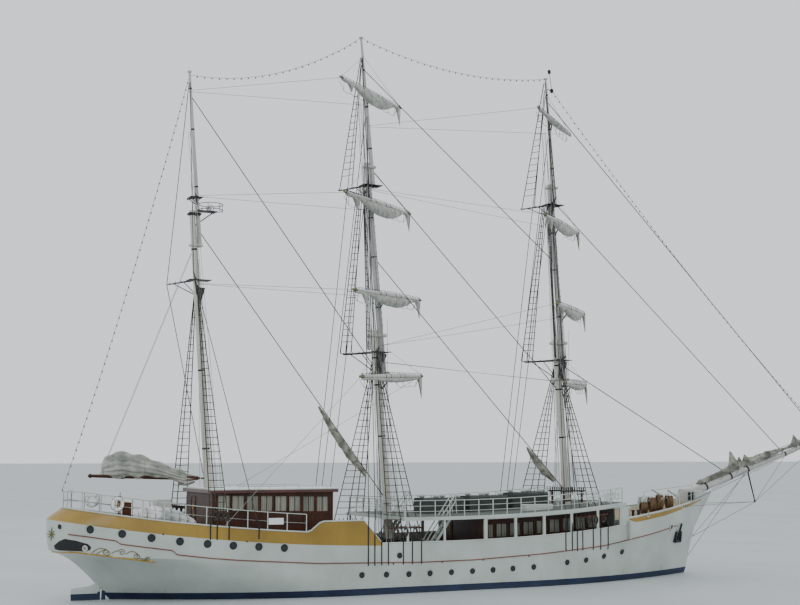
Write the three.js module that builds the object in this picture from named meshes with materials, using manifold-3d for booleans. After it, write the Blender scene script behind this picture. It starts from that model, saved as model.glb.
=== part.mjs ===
// A three-masted barque with auxiliary screw, as a half-size model.
// All lengths below are metres of the full-size ship; the ship group's scale turns them into model millimetres.
// Frame: +X to the bow, +Y to port, +Z up, origin amidships on the waterline.
import * as THREE from "three";
import { mergeVertices } from "three/addons/utils/BufferGeometryUtils.js";
import Module from "manifold-3d";

const wasm = await Module();
wasm.setup();

// Driving dimensions
const MODEL_MM_PER_METRE = 500;
const GAP = 0.0008; // between pieces that meet
const PLATE = 0.1; // bulwark thickness
const BEAM_HALF = 4.4;
const MAIN_DECK = 1.85;
const WAIST_AFT = -4.36;
const SHELTER_FORE = 13.3;
const SHELTER_AFT = -2.9;
const POOP_FRONT = -5.0;
const SHAFT_HEIGHT = -1.75;
const PROPELLER_X = -18.98;
const PROPELLER_RADIUS = 1.0;
const RUDDER_X = -19.85;
const STOCK_RADIUS = 0.1;

// Materials
const paint = (color, roughness = 0.45) => new THREE.MeshStandardMaterial({ color, roughness, metalness: 0.1 });
const white = () => paint(0xe9eaea);
const ochre = () => paint(0xc98a2e);
const spar = () => paint(0xd9d6ca, 0.5);
const varnish = () => paint(0x6b3a1c, 0.35);
const canvas = () => paint(0xc9cbcd, 0.9);
const iron = () => new THREE.MeshStandardMaterial({ color: 0x4a4d50, roughness: 0.5, metalness: 0.8 });
const bronze = () => new THREE.MeshStandardMaterial({ color: 0xa67c45, roughness: 0.35, metalness: 0.9 });

// Solids
function solidOf(geometry) {
  const plain = geometry.index ? geometry.toNonIndexed() : geometry.clone();
  plain.deleteAttribute("normal");
  plain.deleteAttribute("uv");
  const merged = mergeVertices(plain, 1e-6);
  return new wasm.Manifold(
    new wasm.Mesh({
      numProp: 3,
      vertProperties: merged.attributes.position.array,
      triVerts: new Uint32Array(merged.index.array),
    }),
  );
}

function geometryOf(solid) {
  const mesh = solid.getMesh();
  const geometry = new THREE.BufferGeometry();
  geometry.setAttribute("position", new THREE.BufferAttribute(new Float32Array(mesh.vertProperties), 3));
  geometry.setIndex(new THREE.BufferAttribute(new Uint32Array(mesh.triVerts), 1));
  return geometry;
}

const join = (...solids) => solids.reduce((a, b) => a.add(b));

function box(x0, x1, y0, y1, z0, z1) {
  const geometry = new THREE.BoxGeometry(x1 - x0, y1 - y0, z1 - z0);
  geometry.translate((x0 + x1) / 2, (y0 + y1) / 2, (z0 + z1) / 2);
  return solidOf(geometry);
}

// A round bar from point a to point b, tapering from radius ra to rb.
function bar(a, b, ra, rb = ra, sides = 12) {
  const from = new THREE.Vector3(...a);
  const to = new THREE.Vector3(...b);
  const along = to.clone().sub(from);
  const geometry = new THREE.CylinderGeometry(rb, ra, along.length(), sides, 1);
  geometry.translate(0, along.length() / 2, 0);
  geometry.applyQuaternion(
    new THREE.Quaternion().setFromUnitVectors(new THREE.Vector3(0, 1, 0), along.clone().normalize()),
  );
  geometry.translate(...a);
  return solidOf(geometry);
}

// A flat outline [[x, z], ...] seen from starboard, drawn across the ship from y0 to y1.
function acrossShip(outline, y0, y1) {
  const shape = new THREE.Shape(outline.map(([x, z]) => new THREE.Vector2(x, z)));
  const geometry = new THREE.ExtrudeGeometry(shape, { depth: y1 - y0, bevelEnabled: false });
  geometry.rotateX(Math.PI / 2);
  geometry.translate(0, y1, 0);
  return solidOf(geometry);
}

function roundedOutline(x0, x1, z0, z1, slope, r) {
  const shape = new THREE.Shape();
  const lift = (x) => slope * (x - x0);
  shape.moveTo(x0, z0 + r);
  shape.lineTo(x0, z1 - r);
  shape.quadraticCurveTo(x0, z1, x0 + r, z1 + lift(x0 + r));
  shape.lineTo(x1 - r, z1 + lift(x1 - r));
  shape.quadraticCurveTo(x1, z1 + lift(x1), x1, z1 + lift(x1) - r);
  shape.lineTo(x1, z0 + lift(x1) + r);
  shape.quadraticCurveTo(x1, z0 + lift(x1), x1 - r, z0 + lift(x1 - r));
  shape.lineTo(x0 + r, z0 + lift(x0 + r));
  shape.quadraticCurveTo(x0, z0, x0, z0 + r);
  return shape.getPoints(3).slice(0, -1).map((p) => [p.x, p.y]);
}

// Hull form
// Rise of the sheer above its lowest point, for the fore and the after body.
const sheerCurve = (x) => (x > -1 ? 0.00227 * (x + 1) ** 2.2 : 0.00764 * Math.max(0, -x - 3) ** 1.82);

// Straight from metre to metre, so that pieces cut along it meet.
function sheer(x) {
  const before = Math.floor(x);
  return sheerCurve(before) + (x - before) * (sheerCurve(before + 1) - sheerCurve(before));
}

// One row a level: height amidships, share of the sheer aft and fore, ends, half breadth,
// and for the run and the entrance where they start and how full they are.
const LEVELS = [
  // z, sheerAft, sheerFore, xAft, xFore, half, runFrom, runPower, runRoot, entryFrom, entryPower, entryRoot
  [-3.05, 0.0, 0.0, -18.6, 16.2, 0.2, -14.0, 3.0, 0.9, 12.0, 3.0, 0.9],
  [-2.8, 0.0, 0.0, -18.6, 17.2, 2.2, -1.0, 1.25, 1.6, 3.0, 1.3, 1.5],
  [-2.25, 0.0, 0.0, -18.6, 18.3, 3.45, -1.5, 1.35, 1.5, 3.5, 1.45, 1.35],
  [-1.4, 0.0, 0.0, -18.6, 19.4, 4.08, -2.5, 1.5, 1.35, 4.0, 1.65, 1.2],
  [-0.5, 0.0, 0.0, -18.75, 20.2, 4.32, -4.0, 1.75, 1.15, 4.5, 1.85, 1.08],
  [0.2, 0.0, 0.0, -19.4, 20.75, 4.38, -6.0, 1.9, 1.0, 5.0, 2.0, 1.0],
  [0.9, 0.35, 0.35, -20.5, 21.15, 4.4, -8.0, 2.1, 0.85, 5.5, 2.1, 0.96],
  [1.4, 0.6, 0.7, -21.6, 21.6, 4.4, -9.0, 2.35, 0.72, 5.8, 2.2, 0.92],
  [1.77, 0.62, 1.0, -22.72, 22.1, 4.4, -10.0, 2.6, 0.62, 6.0, 2.3, 0.9],
  [2.82, 1.0, 0.85, -22.85, 22.45, 4.4, -10.0, 2.6, 0.62, 6.0, 2.3, 0.9],
  [3.47, 1.0, 0.79, -22.05, 22.75, 4.4, -10.0, 2.6, 0.6, 6.0, 2.3, 0.9],
  [4.7, 1.0, 0.79, -21.3, 23.05, 4.4, -10.0, 2.6, 0.6, 6.0, 2.3, 0.9],
].map(([z, sheerAft, sheerFore, xAft, xFore, half, runFrom, runPower, runRoot, entryFrom, entryPower, entryRoot]) => ({
  z, sheerAft, sheerFore, xAft, xFore, half, runFrom, runPower, runRoot, entryFrom, entryPower, entryRoot,
}));
const HULL_STEPS = 26;

function levelPoint(level, share, inset, grow) {
  const xAft = level.xAft + inset - grow;
  const xFore = level.xFore - inset + grow;
  const eased = 0.5 - 0.5 * Math.cos(Math.PI * share);
  const x = xAft + (xFore - xAft) * (0.35 * share + 0.65 * eased);
  let y = level.half - inset + grow;
  if (x < level.runFrom) {
    const t = (level.runFrom - x) / (level.runFrom - xAft);
    y *= Math.max(0, 1 - t ** level.runPower) ** level.runRoot;
  }
  if (x > level.entryFrom) {
    const t = (x - level.entryFrom) / (xFore - level.entryFrom);
    y *= Math.max(0, 1 - t ** level.entryPower) ** level.entryRoot;
  }
  const z = level.z + (x > -1 ? level.sheerFore : level.sheerAft) * sheer(x);
  return [x, y, z];
}

// The hull's outer form as one closed solid, from the keel to above the rails.
// inset draws it in for an inner face; grow swells it for a moulding or a roof edge.
function hullForm({ inset = 0, grow = 0, levels = LEVELS } = {}) {
  const ring = 2 * HULL_STEPS;
  const points = [];
  for (const level of levels) {
    for (let i = 0; i < ring; i++) {
      const share = i <= HULL_STEPS ? i / HULL_STEPS : 2 - i / HULL_STEPS;
      const [x, y, z] = levelPoint(level, share, inset, grow);
      const end = i % HULL_STEPS === 0;
      points.push(x, end ? 0 : i < HULL_STEPS ? -y : y, z);
    }
  }
  const index = [];
  for (let k = 0; k + 1 < levels.length; k++) {
    for (let i = 0; i < ring; i++) {
      const a = k * ring + i;
      const b = k * ring + ((i + 1) % ring);
      index.push(a, b, b + ring, a, b + ring, a + ring);
    }
  }
  const top = (levels.length - 1) * ring;
  for (let i = 0; i < HULL_STEPS; i++) {
    const a = i;
    const b = i + 1;
    const c = (ring - i) % ring;
    const d = (ring - i - 1) % ring;
    const lower = i === 0 ? [[a, d, b]] : i === HULL_STEPS - 1 ? [[a, c, b]] : [[a, c, b], [b, c, d]];
    for (const [p, q, r] of lower) {
      index.push(p, q, r, top + p, top + r, top + q);
    }
  }
  const geometry = new THREE.BufferGeometry();
  geometry.setAttribute("position", new THREE.BufferAttribute(new Float32Array(points), 3));
  geometry.setIndex(index);
  return solidOf(geometry);
}

// Half breadth of the topsides at a place, for what is set against them.
function halfBreadth(x, level) {
  let low = 0;
  let high = 1;
  for (let i = 0; i < 30; i++) {
    const middle = (low + high) / 2;
    if (levelPoint(LEVELS[level], middle, 0, 0)[0] < x) low = middle;
    else high = middle;
  }
  return levelPoint(LEVELS[level], low, 0, 0)[1];
}

// Lines of the upper works, each as height against x
const deckLine = (x) => MAIN_DECK + (x > -1 ? 1.0 : 0.62) * sheer(x);
const poopDeck = (x) => 2.95 + sheer(x);
const waistCap = (x) => 2.92 + 0.85 * sheer(x);
const foreDeck = (x) => 3.2 + 0.79 * sheer(x);
const bowCap = (x) => 3.36 + 0.79 * sheer(x);
const shelterDeck = (x) => 4.4 + 0.8 * sheer(x);
const shelterUnder = (x) => 4.2 + 0.8 * sheer(x);
const ochreCap = (x) => 3.48 + 1.02 * sheer(x);
const PANEL_AFT = -8;
const PANEL_FORE = -5.5;
const PANEL_TOP = 4.26;

// The slab of space between two such lines from x0 to x1.
function between(lower, upper, x0, x1, y0 = -6, y1 = 6) {
  const xs = [x0];
  for (let x = Math.floor(x0) + 1; x < x1; x++) xs.push(x);
  xs.push(x1);
  const outline = xs.map((x) => [x, lower(x)]).concat(xs.reverse().map((x) => [x, upper(x)]));
  return acrossShip(outline, y0, y1);
}

const flat = (z) => () => z;
const raised = (line, by) => (x) => line(x) + by;

// Cuts a piece off along the surface that it stands on.
const seated = (solid, line, x0, x1) => solid.subtract(between(flat(-4), raised(line, GAP), x0, x1));

function hullBody() {
  const body = hullForm().intersect(between(flat(-4), deckLine, -25, 25));
  const keel = box(-18.5, 16.6, -0.14, 0.14, -3.3, -2.9);
  const sole = box(-20.05, -18.0, -0.14, 0.14, -3.3, -3.06);
  const rudderPost = box(-19.66, -19.46, -0.11, 0.11, -3.1, 0.5);
  const boss = bar([-16.6, 0, SHAFT_HEIGHT], [-18.68, 0, SHAFT_HEIGHT], 0.3, 0.24);
  const stockTrunk = bar([RUDDER_X, 0, 0.0], [RUDDER_X, 0, 1.02], STOCK_RADIUS + 0.012);
  return join(body, keel, sole, rudderPost, boss).subtract(stockTrunk);
}

function poopBlock() {
  return hullForm().intersect(between(raised(deckLine, GAP), poopDeck, -25, POOP_FRONT));
}

function forecastleBlock() {
  const outer = hullForm().intersect(between(raised(deckLine, GAP), bowCap, SHELTER_FORE + 0.2, 25));
  const well = hullForm({ inset: 0.14 }).intersect(between(foreDeck, flat(7), SHELTER_FORE - 1, 25));
  return outer.subtract(well);
}

function poopWallTop(x) {
  if (x <= PANEL_AFT - 1) return ochreCap(x);
  if (x < PANEL_FORE) return PANEL_TOP;
  return PANEL_TOP - ((x - PANEL_FORE) / (WAIST_AFT - PANEL_FORE)) * (PANEL_TOP - 2.98);
}

function sideOf(solid, side) {
  return solid.intersect(side < 0 ? box(-30, 40, -8, -GAP, -6, 40) : box(-30, 40, GAP, 8, -6, 40));
}

function poopBulwark(side) {
  const shell = hullForm().subtract(hullForm({ inset: PLATE }));
  const above = between(raised(poopDeck, GAP), poopWallTop, -25, POOP_FRONT);
  const front = POOP_FRONT + GAP;
  const returned = acrossShip(
    [
      [front, deckLine(front) + GAP], [WAIST_AFT - GAP, deckLine(WAIST_AFT) + GAP],
      [WAIST_AFT - GAP, poopWallTop(WAIST_AFT)], [front, poopWallTop(front)],
    ],
    -6, 6,
  );
  const bridge = between(raised(poopDeck, GAP), poopWallTop, front - 0.1, front + 0.1);
  return sideOf(shell.intersect(join(above, bridge, returned)), side);
}

const PILLARS = [2.62, 4.7, 6.75, 8.8, 10.87, 12.8];
const PILLAR_WIDTH = 0.26;

function shelterSide(side) {
  const shell = hullForm().subtract(hullForm({ inset: PLATE }));
  const low = raised(deckLine, GAP);
  const bulwark = shell.intersect(between(low, waistCap, WAIST_AFT, 3.0));
  let screen = shell.intersect(between(low, raised(shelterUnder, -GAP), 2.49, SHELTER_FORE + 0.2 - GAP));
  for (let i = 0; i + 1 < PILLARS.length; i++) {
    const x0 = PILLARS[i] + PILLAR_WIDTH / 2;
    const x1 = PILLARS[i + 1] - PILLAR_WIDTH / 2;
    const slope = (waistCap(x1) - waistCap(x0)) / (x1 - x0);
    const outline = roundedOutline(x0, x1, waistCap(x0), shelterUnder(x0) - 0.16, slope, 0.18);
    screen = screen.subtract(acrossShip(outline, -6, 6));
  }
  return sideOf(bulwark.add(screen), side);
}

function mastAxis(mast, z) {
  return [mast.x - mast.rake * (z - mast.z), 0, z];
}

function mastBore(mast, z0, z1) {
  return bar(mastAxis(mast, z0), mastAxis(mast, z1), mast.radius + 0.02, mast.radius + 0.02, 16);
}

function upperDeck() {
  const slab = hullForm({ grow: 0.04 }).intersect(between(shelterUnder, shelterDeck, SHELTER_AFT, SHELTER_FORE));
  const legs = [];
  for (const x of [SHELTER_AFT + 0.25, -0.2]) {
    for (const side of [-1, 1]) {
      const y = side * (BEAM_HALF - 0.05);
      legs.push(box(x - 0.06, x + 0.06, y - 0.05, y + 0.05, waistCap(x) + GAP, 4.25));
    }
  }
  return join(slab, ...legs).subtract(mastBore(MAIN, 2, 7)).subtract(mastBore(FORE, 2, 7));
}

const HOUSE_WALL = 0.1;
const MID_HOUSE = { x0: 2.95, x1: 12.2, half: 2.7 };
const AFT_HOUSE = { x0: -14.1, x1: -6.7, half: 2.6, top: 5.98 };
const DOOR = { y0: 0.75, y1: 1.5, height: 1.9 };

// Four walls with a row of windows on each long side, windows in the ends and a doorway in the after end.
function houseWalls(house, floor, roof, windows) {
  const outer = between(floor, roof, house.x0, house.x1, -house.half, house.half);
  const inner = box(
    house.x0 + HOUSE_WALL, house.x1 - HOUSE_WALL,
    -house.half + HOUSE_WALL, house.half - HOUSE_WALL, -1, 9,
  );
  let walls = outer.subtract(inner);
  const pitch = (house.x1 - house.x0 - 0.5) / windows.count;
  for (let i = 0; i < windows.count; i++) {
    const x0 = house.x0 + 0.25 + pitch * i + windows.post / 2;
    const x1 = x0 + pitch - windows.post;
    const z0 = windows.sill((x0 + x1) / 2);
    walls = walls.subtract(box(x0, x1, -6, 6, z0, z0 + windows.height));
  }
  for (const y of [-1.9, 1.15]) {
    const z0 = windows.sill(house.x1);
    walls = walls.subtract(box(house.x1 - 0.3, house.x1 + 0.3, y, y + 0.75, z0, z0 + windows.height));
  }
  const sill = floor(house.x0) + 0.12;
  const doorway = box(house.x0 - 0.3, house.x0 + 0.3, DOOR.y0, DOOR.y1, sill, sill + DOOR.height);
  return walls.subtract(doorway);
}

function midshipHouse() {
  return houseWalls(MID_HOUSE, raised(deckLine, GAP), raised(shelterUnder, -GAP), {
    count: 9,
    post: 0.22,
    height: 0.78,
    sill: (x) => 2.92 + 0.85 * sheer(x),
  });
}

function aftDeckhouse() {
  return houseWalls(AFT_HOUSE, raised(poopDeck, GAP), flat(AFT_HOUSE.top), {
    count: 8,
    post: 0.16,
    height: 0.85,
    sill: (x) => 4.78 + 0.02 * (AFT_HOUSE.x1 - x),
  });
}

function aftDeckhouseRoof() {
  const slab = box(AFT_HOUSE.x0 - 0.2, AFT_HOUSE.x1 + 0.25, -2.85, 2.85, AFT_HOUSE.top + GAP, 6.16);
  return slab.subtract(mastBore(MIZZEN, 3, 8));
}

function houseDoor(house, floor) {
  const sill = floor(house.x0) + 0.12;
  const panel = box(
    house.x0 - 0.001, house.x0 + 0.045,
    DOOR.y0 + 0.012, DOOR.y1 - GAP, sill + 0.012, sill + DOOR.height - 0.012,
  );
  const knob = bar([house.x0 - 0.07, DOOR.y0 + 0.09, sill + 0.95], [house.x0 + 0.02, DOOR.y0 + 0.09, sill + 0.95], 0.025);
  return panel.add(knob);
}

// A round rail through points, as one swept solid.
function sweptRail(points, radius) {
  const path = new THREE.CatmullRomCurve3(points.map((p) => new THREE.Vector3(...p)));
  const section = new THREE.Shape();
  for (let i = 0; i < 4; i++) {
    const a = (i * Math.PI) / 2;
    const method = i === 0 ? "moveTo" : "lineTo";
    section[method](radius * Math.cos(a), radius * Math.sin(a));
  }
  return solidOf(
    new THREE.ExtrudeGeometry(section, { steps: points.length - 1, extrudePath: path, bevelEnabled: false }),
  );
}

// A rail on posts along the ship's side: posts at even steps under a top rail.
function sideRail(side, { from, to, count, base, height, edge }) {
  const pieces = [];
  const feet = [];
  for (let i = 0; i <= count; i++) {
    const x = from + ((to - from) * i) / count;
    feet.push([x, side * edge(x), base(x)]);
  }
  for (const [x, y, z] of feet) {
    pieces.push(bar([x, y, z - 0.1], [x, y, z + height], 0.035, 0.035, 4));
  }
  pieces.push(sweptRail(feet.map(([x, y, z]) => [x, y, z + height]), 0.04));
  return seated(join(...pieces), base, from - 1, to + 1);
}

// Each edge lies half a plate inside the topsides.
const poopRail = (side) =>
  sideRail(side, {
    from: -21.2,
    to: -9.05,
    count: 11,
    base: ochreCap,
    height: 0.98,
    edge: (x) => halfBreadth(x, 10) - PLATE / 2,
  });
const upperRail = (side) =>
  sideRail(side, {
    from: SHELTER_AFT + 0.15,
    to: SHELTER_FORE - 0.25,
    count: 16,
    base: shelterDeck,
    height: 0.92,
    edge: (x) => halfBreadth(x, 10) - 0.16,
  });

function waistLadder(side) {
  const foot = [-1.15, MAIN_DECK + GAP];
  const head = [0.95, 4.4 + 0.45];
  const y0 = side * 3.55;
  const y1 = side * 2.95;
  const pieces = [];
  for (const y of [y0, y1]) {
    const rail = acrossShip(
      [foot, [foot[0] + 0.2, foot[1]], [head[0] + 0.2, head[1]], head], y - 0.025, y + 0.025,
    );
    pieces.push(rail);
  }
  const steps = 9;
  for (let i = 1; i <= steps; i++) {
    const share = i / (steps + 1);
    const x = foot[0] + (head[0] - foot[0]) * share;
    const z = foot[1] + (head[1] - foot[1]) * share;
    pieces.push(box(x, x + 0.2, Math.min(y0, y1), Math.max(y0, y1), z - 0.015, z + 0.015));
  }
  const clearOfDeck = box(-4, 3, -6, 6, 4.2 - 0.01, 6);
  return join(...pieces).subtract(clearOfDeck);
}

// Masts: x at height z on the deck, rake aft per metre of height, radius at the deck.
const MAIN = { x: -1.79, z: 2.81, rake: 0.09, radius: 0.27 };
const FORE = { x: 11.21, z: 5.09, rake: 0.07, radius: 0.27 };
const MIZZEN = { x: -13.42, z: 4.28, rake: 0.078, radius: 0.24 };

const alongMast = (mast, z, forward = 0) => [mast.x - mast.rake * (z - mast.z) + forward, 0, z];

// The round poles: stepped is how far each stands ahead of its lower mast, foot and head are radii.
const POLES = {
  main_lower: { mast: MAIN, stepped: 0, from: 1.6, to: 15.9, foot: 0.27, head: 0.22 },
  main_top: { mast: MAIN, stepped: 0.46, from: 13.2, to: 26.6, foot: 0.2, head: 0.17 },
  main_topgallant: { mast: MAIN, stepped: 0.79, from: 25.0, to: 34.76, foot: 0.156, head: 0.07 },
  fore_lower: { mast: FORE, stepped: 0, from: 2.2, to: 15.8, foot: 0.27, head: 0.22 },
  fore_top: { mast: FORE, stepped: 0.44, from: 13.1, to: 26.4, foot: 0.2, head: 0.17 },
  fore_topgallant: { mast: FORE, stepped: 0.77, from: 24.85, to: 33.77, foot: 0.156, head: 0.07 },
  mizzen_lower: { mast: MIZZEN, stepped: 0, from: 3.2, to: 22.6, foot: 0.24, head: 0.17 },
  mizzen_top: { mast: MIZZEN, stepped: 0.34, from: 20.3, to: 31.07, foot: 0.14, head: 0.07 },
};

function poleSolid(name, swell = 0) {
  const { mast, stepped, from, to, foot, head } = POLES[name];
  return bar(alongMast(mast, from, stepped), alongMast(mast, to, stepped), foot + swell, head + swell);
}

// Outriggers swept aft from the mast, with a web plate under each.
function outriggers(mast, z, forward, reach, sweep, radius) {
  const [x] = alongMast(mast, z, forward);
  const pieces = [];
  for (const side of [-1, 1]) {
    pieces.push(bar([x, 0, z], [x - sweep, side * reach, z + 0.05], radius, radius * 0.6, 6));
    pieces.push(bar([x - 0.02, 0, z - 0.75], [x - sweep * 0.6, side * reach * 0.6, z], 0.04, 0.03, 6));
  }
  return join(...pieces);
}

// A fork ahead of the mast that carries a yard: an arm, an upright pin and its head.
function truss(mast, yard) {
  const [x, , z] = alongMast(mast, yard.z, yard.stepped);
  const tilt = Math.atan(mast.rake);
  const pivot = yard.offset - yardSetting(yard);
  const arm = box(0, pivot + 0.07, -0.06, 0.06, -0.2, -0.07 - GAP);
  const pin = bar([pivot, 0, -0.15], [pivot, 0, 0.15], 0.045);
  const head = bar([pivot, 0, 0.075], [pivot, 0, 0.15], 0.075);
  return join(arm, pin, head).rotate([0, (-tilt * 180) / Math.PI, 0]).translate([x, 0, z]);
}

const EYE_RADIUS = 0.1;
const yardSetting = (yard) => yard.radius + EYE_RADIUS + 0.02;

// Yards from the lowest up. half: half length; offset: yard ahead of its mast; belly: how far the furled sail
// hangs below its ends; brace: degrees from square, port arm forward.
const MAIN_YARDS = [
  { name: "main_course", z: 12.91, half: 7.2, radius: 0.17, offset: 1.15, stepped: 0, belly: 0.42, brace: 41 },
  { name: "main_lower_topsail", z: 18.08, half: 6.6, radius: 0.15, offset: 0.85, stepped: 0.46, belly: 0.8, brace: 44 },
  { name: "main_upper_topsail", z: 23.95, half: 6.1, radius: 0.135, offset: 0.68, stepped: 0.46, belly: 0.8, brace: 45 },
  { name: "main_topgallant", z: 31.12, half: 5.3, radius: 0.11, offset: 0.46, stepped: 0.79, belly: 0.8, brace: 46 },
];
const FORE_YARDS = [
  { name: "fore_course", z: 12.79, half: 7.0, radius: 0.17, offset: 1.35, stepped: 0, belly: 0.42, brace: 39 },
  { name: "fore_lower_topsail", z: 17.85, half: 6.3, radius: 0.15, offset: 1.0, stepped: 0.44, belly: 0.68, brace: 41.5 },
  { name: "fore_upper_topsail", z: 23.66, half: 5.7, radius: 0.135, offset: 0.8, stepped: 0.44, belly: 0.68, brace: 44.5 },
  { name: "fore_topgallant", z: 30.79, half: 5.1, radius: 0.11, offset: 0.48, stepped: 0.77, belly: 0.68, brace: 45 },
];

const DOUBLING = 1.2; // the topmast's heel stands this far below the outriggers

// Lower mast with its trestle, outriggers, cap over the doubling and the fork of the lowest yard.
function lowerMast(name, upper, { top, reach, sweep, yard }) {
  const { mast, to: head } = POLES[name];
  const { stepped, foot: bore } = POLES[upper];
  const pieces = [seated(poleSolid(name), deckLine, mast.x - 1, mast.x + 1)];
  const [tx] = alongMast(mast, top);
  pieces.push(box(tx - 0.45, tx + stepped + 0.3, -0.28, 0.28, top - DOUBLING - 0.12, top - DOUBLING));
  pieces.push(outriggers(mast, top, 0, reach, sweep, 0.08));
  const [cx] = alongMast(mast, head - 0.25);
  pieces.push(box(cx - 0.32, cx + stepped + 0.32, -0.3, 0.3, head - 0.35, head - 0.12));
  pieces.push(truss(mast, yard));
  const clear = bore + GAP * 3;
  const through = bar(alongMast(mast, top - 1, stepped), alongMast(mast, head + 1, stepped), clear, clear);
  return join(...pieces).subtract(through);
}

// The blocks that hold a topgallant mast against its topmast.
function caps(name, second, swell = 0) {
  const { mast, stepped, to: head } = POLES[name];
  const { stepped: secondStepped, from: doubling } = POLES[second];
  return [doubling + 0.05, head - 0.2].map((z) => {
    const [x] = alongMast(mast, z, stepped);
    const fore = x + secondStepped - stepped + 0.24;
    return box(x - 0.26 - swell, fore + swell, -0.22 - swell, 0.22 + swell, z - swell, z + 0.16 + swell);
  });
}

// Topmast with the topgallant mast stepped ahead of it, crosstrees, caps and the forks of the upper yards.
function upperMast(name, second, { top, reach, sweep, yards }) {
  const { mast, stepped } = POLES[name];
  const { stepped: secondStepped, from: doubling, to: truck } = POLES[second];
  const heel = top - DOUBLING;
  const pieces = [seated(poleSolid(name), flat(heel), mast.x - 4, mast.x + 2), poleSolid(second)];
  pieces.push(...caps(name, second));
  pieces.push(outriggers(mast, doubling + 0.15, stepped, reach, sweep, 0.06));
  pieces.push(bar(alongMast(mast, truck - 0.02, secondStepped), alongMast(mast, truck + 0.12, secondStepped), 0.13, 0.1, 10));
  for (const yard of yards) pieces.push(truss(mast, yard));
  return join(...pieces);
}

const MAIN_TOP = 14.5;
const FORE_TOP = 14.4;
const mainLowerMast = () =>
  lowerMast("main_lower", "main_top", { top: MAIN_TOP, reach: 2.8, sweep: 1.0, yard: MAIN_YARDS[0] });
const mainTopmast = () =>
  upperMast("main_top", "main_topgallant", { top: MAIN_TOP, reach: 2.4, sweep: 1.05, yards: MAIN_YARDS.slice(1) });
const foreLowerMast = () =>
  lowerMast("fore_lower", "fore_top", { top: FORE_TOP, reach: 2.6, sweep: 0.95, yard: FORE_YARDS[0] });
const foreTopmast = () =>
  upperMast("fore_top", "fore_topgallant", { top: FORE_TOP, reach: 2.3, sweep: 1.0, yards: FORE_YARDS.slice(1) });

const GOOSENECK = { z: 6.72, behind: 0.42 };
const BOOM_RADIUS = 0.12;
const BOOM_END = [-20.6, 0, 6.9];
const BOOM_END_RADIUS = 0.09;
const MIZZEN_HEEL = 20.4;

function mizzenLowerMast() {
  const head = POLES.mizzen_lower.to;
  const { stepped, foot } = POLES.mizzen_top;
  const heel = MIZZEN_HEEL;
  const mast = seated(poleSolid("mizzen_lower"), poopDeck, -15, -12);
  const [hx] = alongMast(MIZZEN, heel);
  const trestle = box(hx - 0.3, hx + stepped + 0.22, -0.2, 0.2, heel - 0.12, heel);
  const [cx] = alongMast(MIZZEN, head - 0.3);
  const cap = box(cx - 0.25, cx + stepped + 0.22, -0.2, 0.2, head - 0.3, head - 0.12);
  const spreader = outriggers(MIZZEN, 18.42, 0, 2.9, 1.0, 0.06);
  const bore = foot + GAP * 3;
  const topmast = bar(alongMast(MIZZEN, heel + 0.2, stepped), alongMast(MIZZEN, head + 1, stepped), bore, bore);
  const [gx] = alongMast(MIZZEN, GOOSENECK.z);
  const pivot = gx - GOOSENECK.behind;
  const lugs = join(
    box(pivot - 0.09, gx, -0.09, 0.09, GOOSENECK.z - 0.2, GOOSENECK.z - 0.1 - GAP),
    box(pivot - 0.09, gx, -0.09, 0.09, GOOSENECK.z + 0.11, GOOSENECK.z + 0.2),
    bar([pivot, 0, GOOSENECK.z - 0.15], [pivot, 0, GOOSENECK.z + 0.15], 0.045),
  );
  return join(mast, trestle, cap, spreader, lugs).subtract(topmast);
}

function mizzenTopmast() {
  const { stepped, to: truck } = POLES.mizzen_top;
  const pole = seated(poleSolid("mizzen_top"), flat(MIZZEN_HEEL), -17, -12);
  const cap = bar(alongMast(MIZZEN, truck - 0.02, stepped), alongMast(MIZZEN, truck + 0.12, stepped), 0.12, 0.1, 10);
  const hounds = outriggers(MIZZEN, 23.4, stepped, 0.9, 0.35, 0.05);
  return join(pole, cap, hounds);
}

// Bowsprit with its housing on the forecastle and the dolphin striker under it.
const BOWSPRIT = { heel: [20.9, 0, 5.28], tip: [34.05, 0, 9.47] };
const onBowsprit = (x) => {
  const share = (x - BOWSPRIT.heel[0]) / (BOWSPRIT.tip[0] - BOWSPRIT.heel[0]);
  return [x, 0, BOWSPRIT.heel[2] + share * (BOWSPRIT.tip[2] - BOWSPRIT.heel[2])];
};

function bowsprit() {
  const spine = bar(BOWSPRIT.heel, onBowsprit(27.0), 0.27, 0.22, 14);
  const boom = bar(onBowsprit(26.9), BOWSPRIT.tip, 0.2, 0.1, 14);
  const band = bar(onBowsprit(26.35), onBowsprit(26.6), 0.29, 0.29, 14);
  const [sx, , sz] = onBowsprit(26.47);
  const striker = bar([sx, 0, sz], [sx + 0.62, 0, sz - 2.35], 0.06, 0.045, 8);
  const bed = box(20.6, 21.65, -0.4, 0.4, 4.4, 5.72);
  const crown = box(21.15, 22.25, -0.3, 0.3, 5.3, 5.78);
  const underneath = hullForm({ grow: GAP, levels: LEVELS }).intersect(between(flat(-4), raised(bowCap, GAP), 12, 25));
  const well = hullForm({ inset: 0.14 + GAP }).intersect(between(raised(foreDeck, GAP), flat(7), 12, 25));
  return join(spine, boom, band, striker, bed, crown).subtract(underneath.subtract(well));
}

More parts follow.
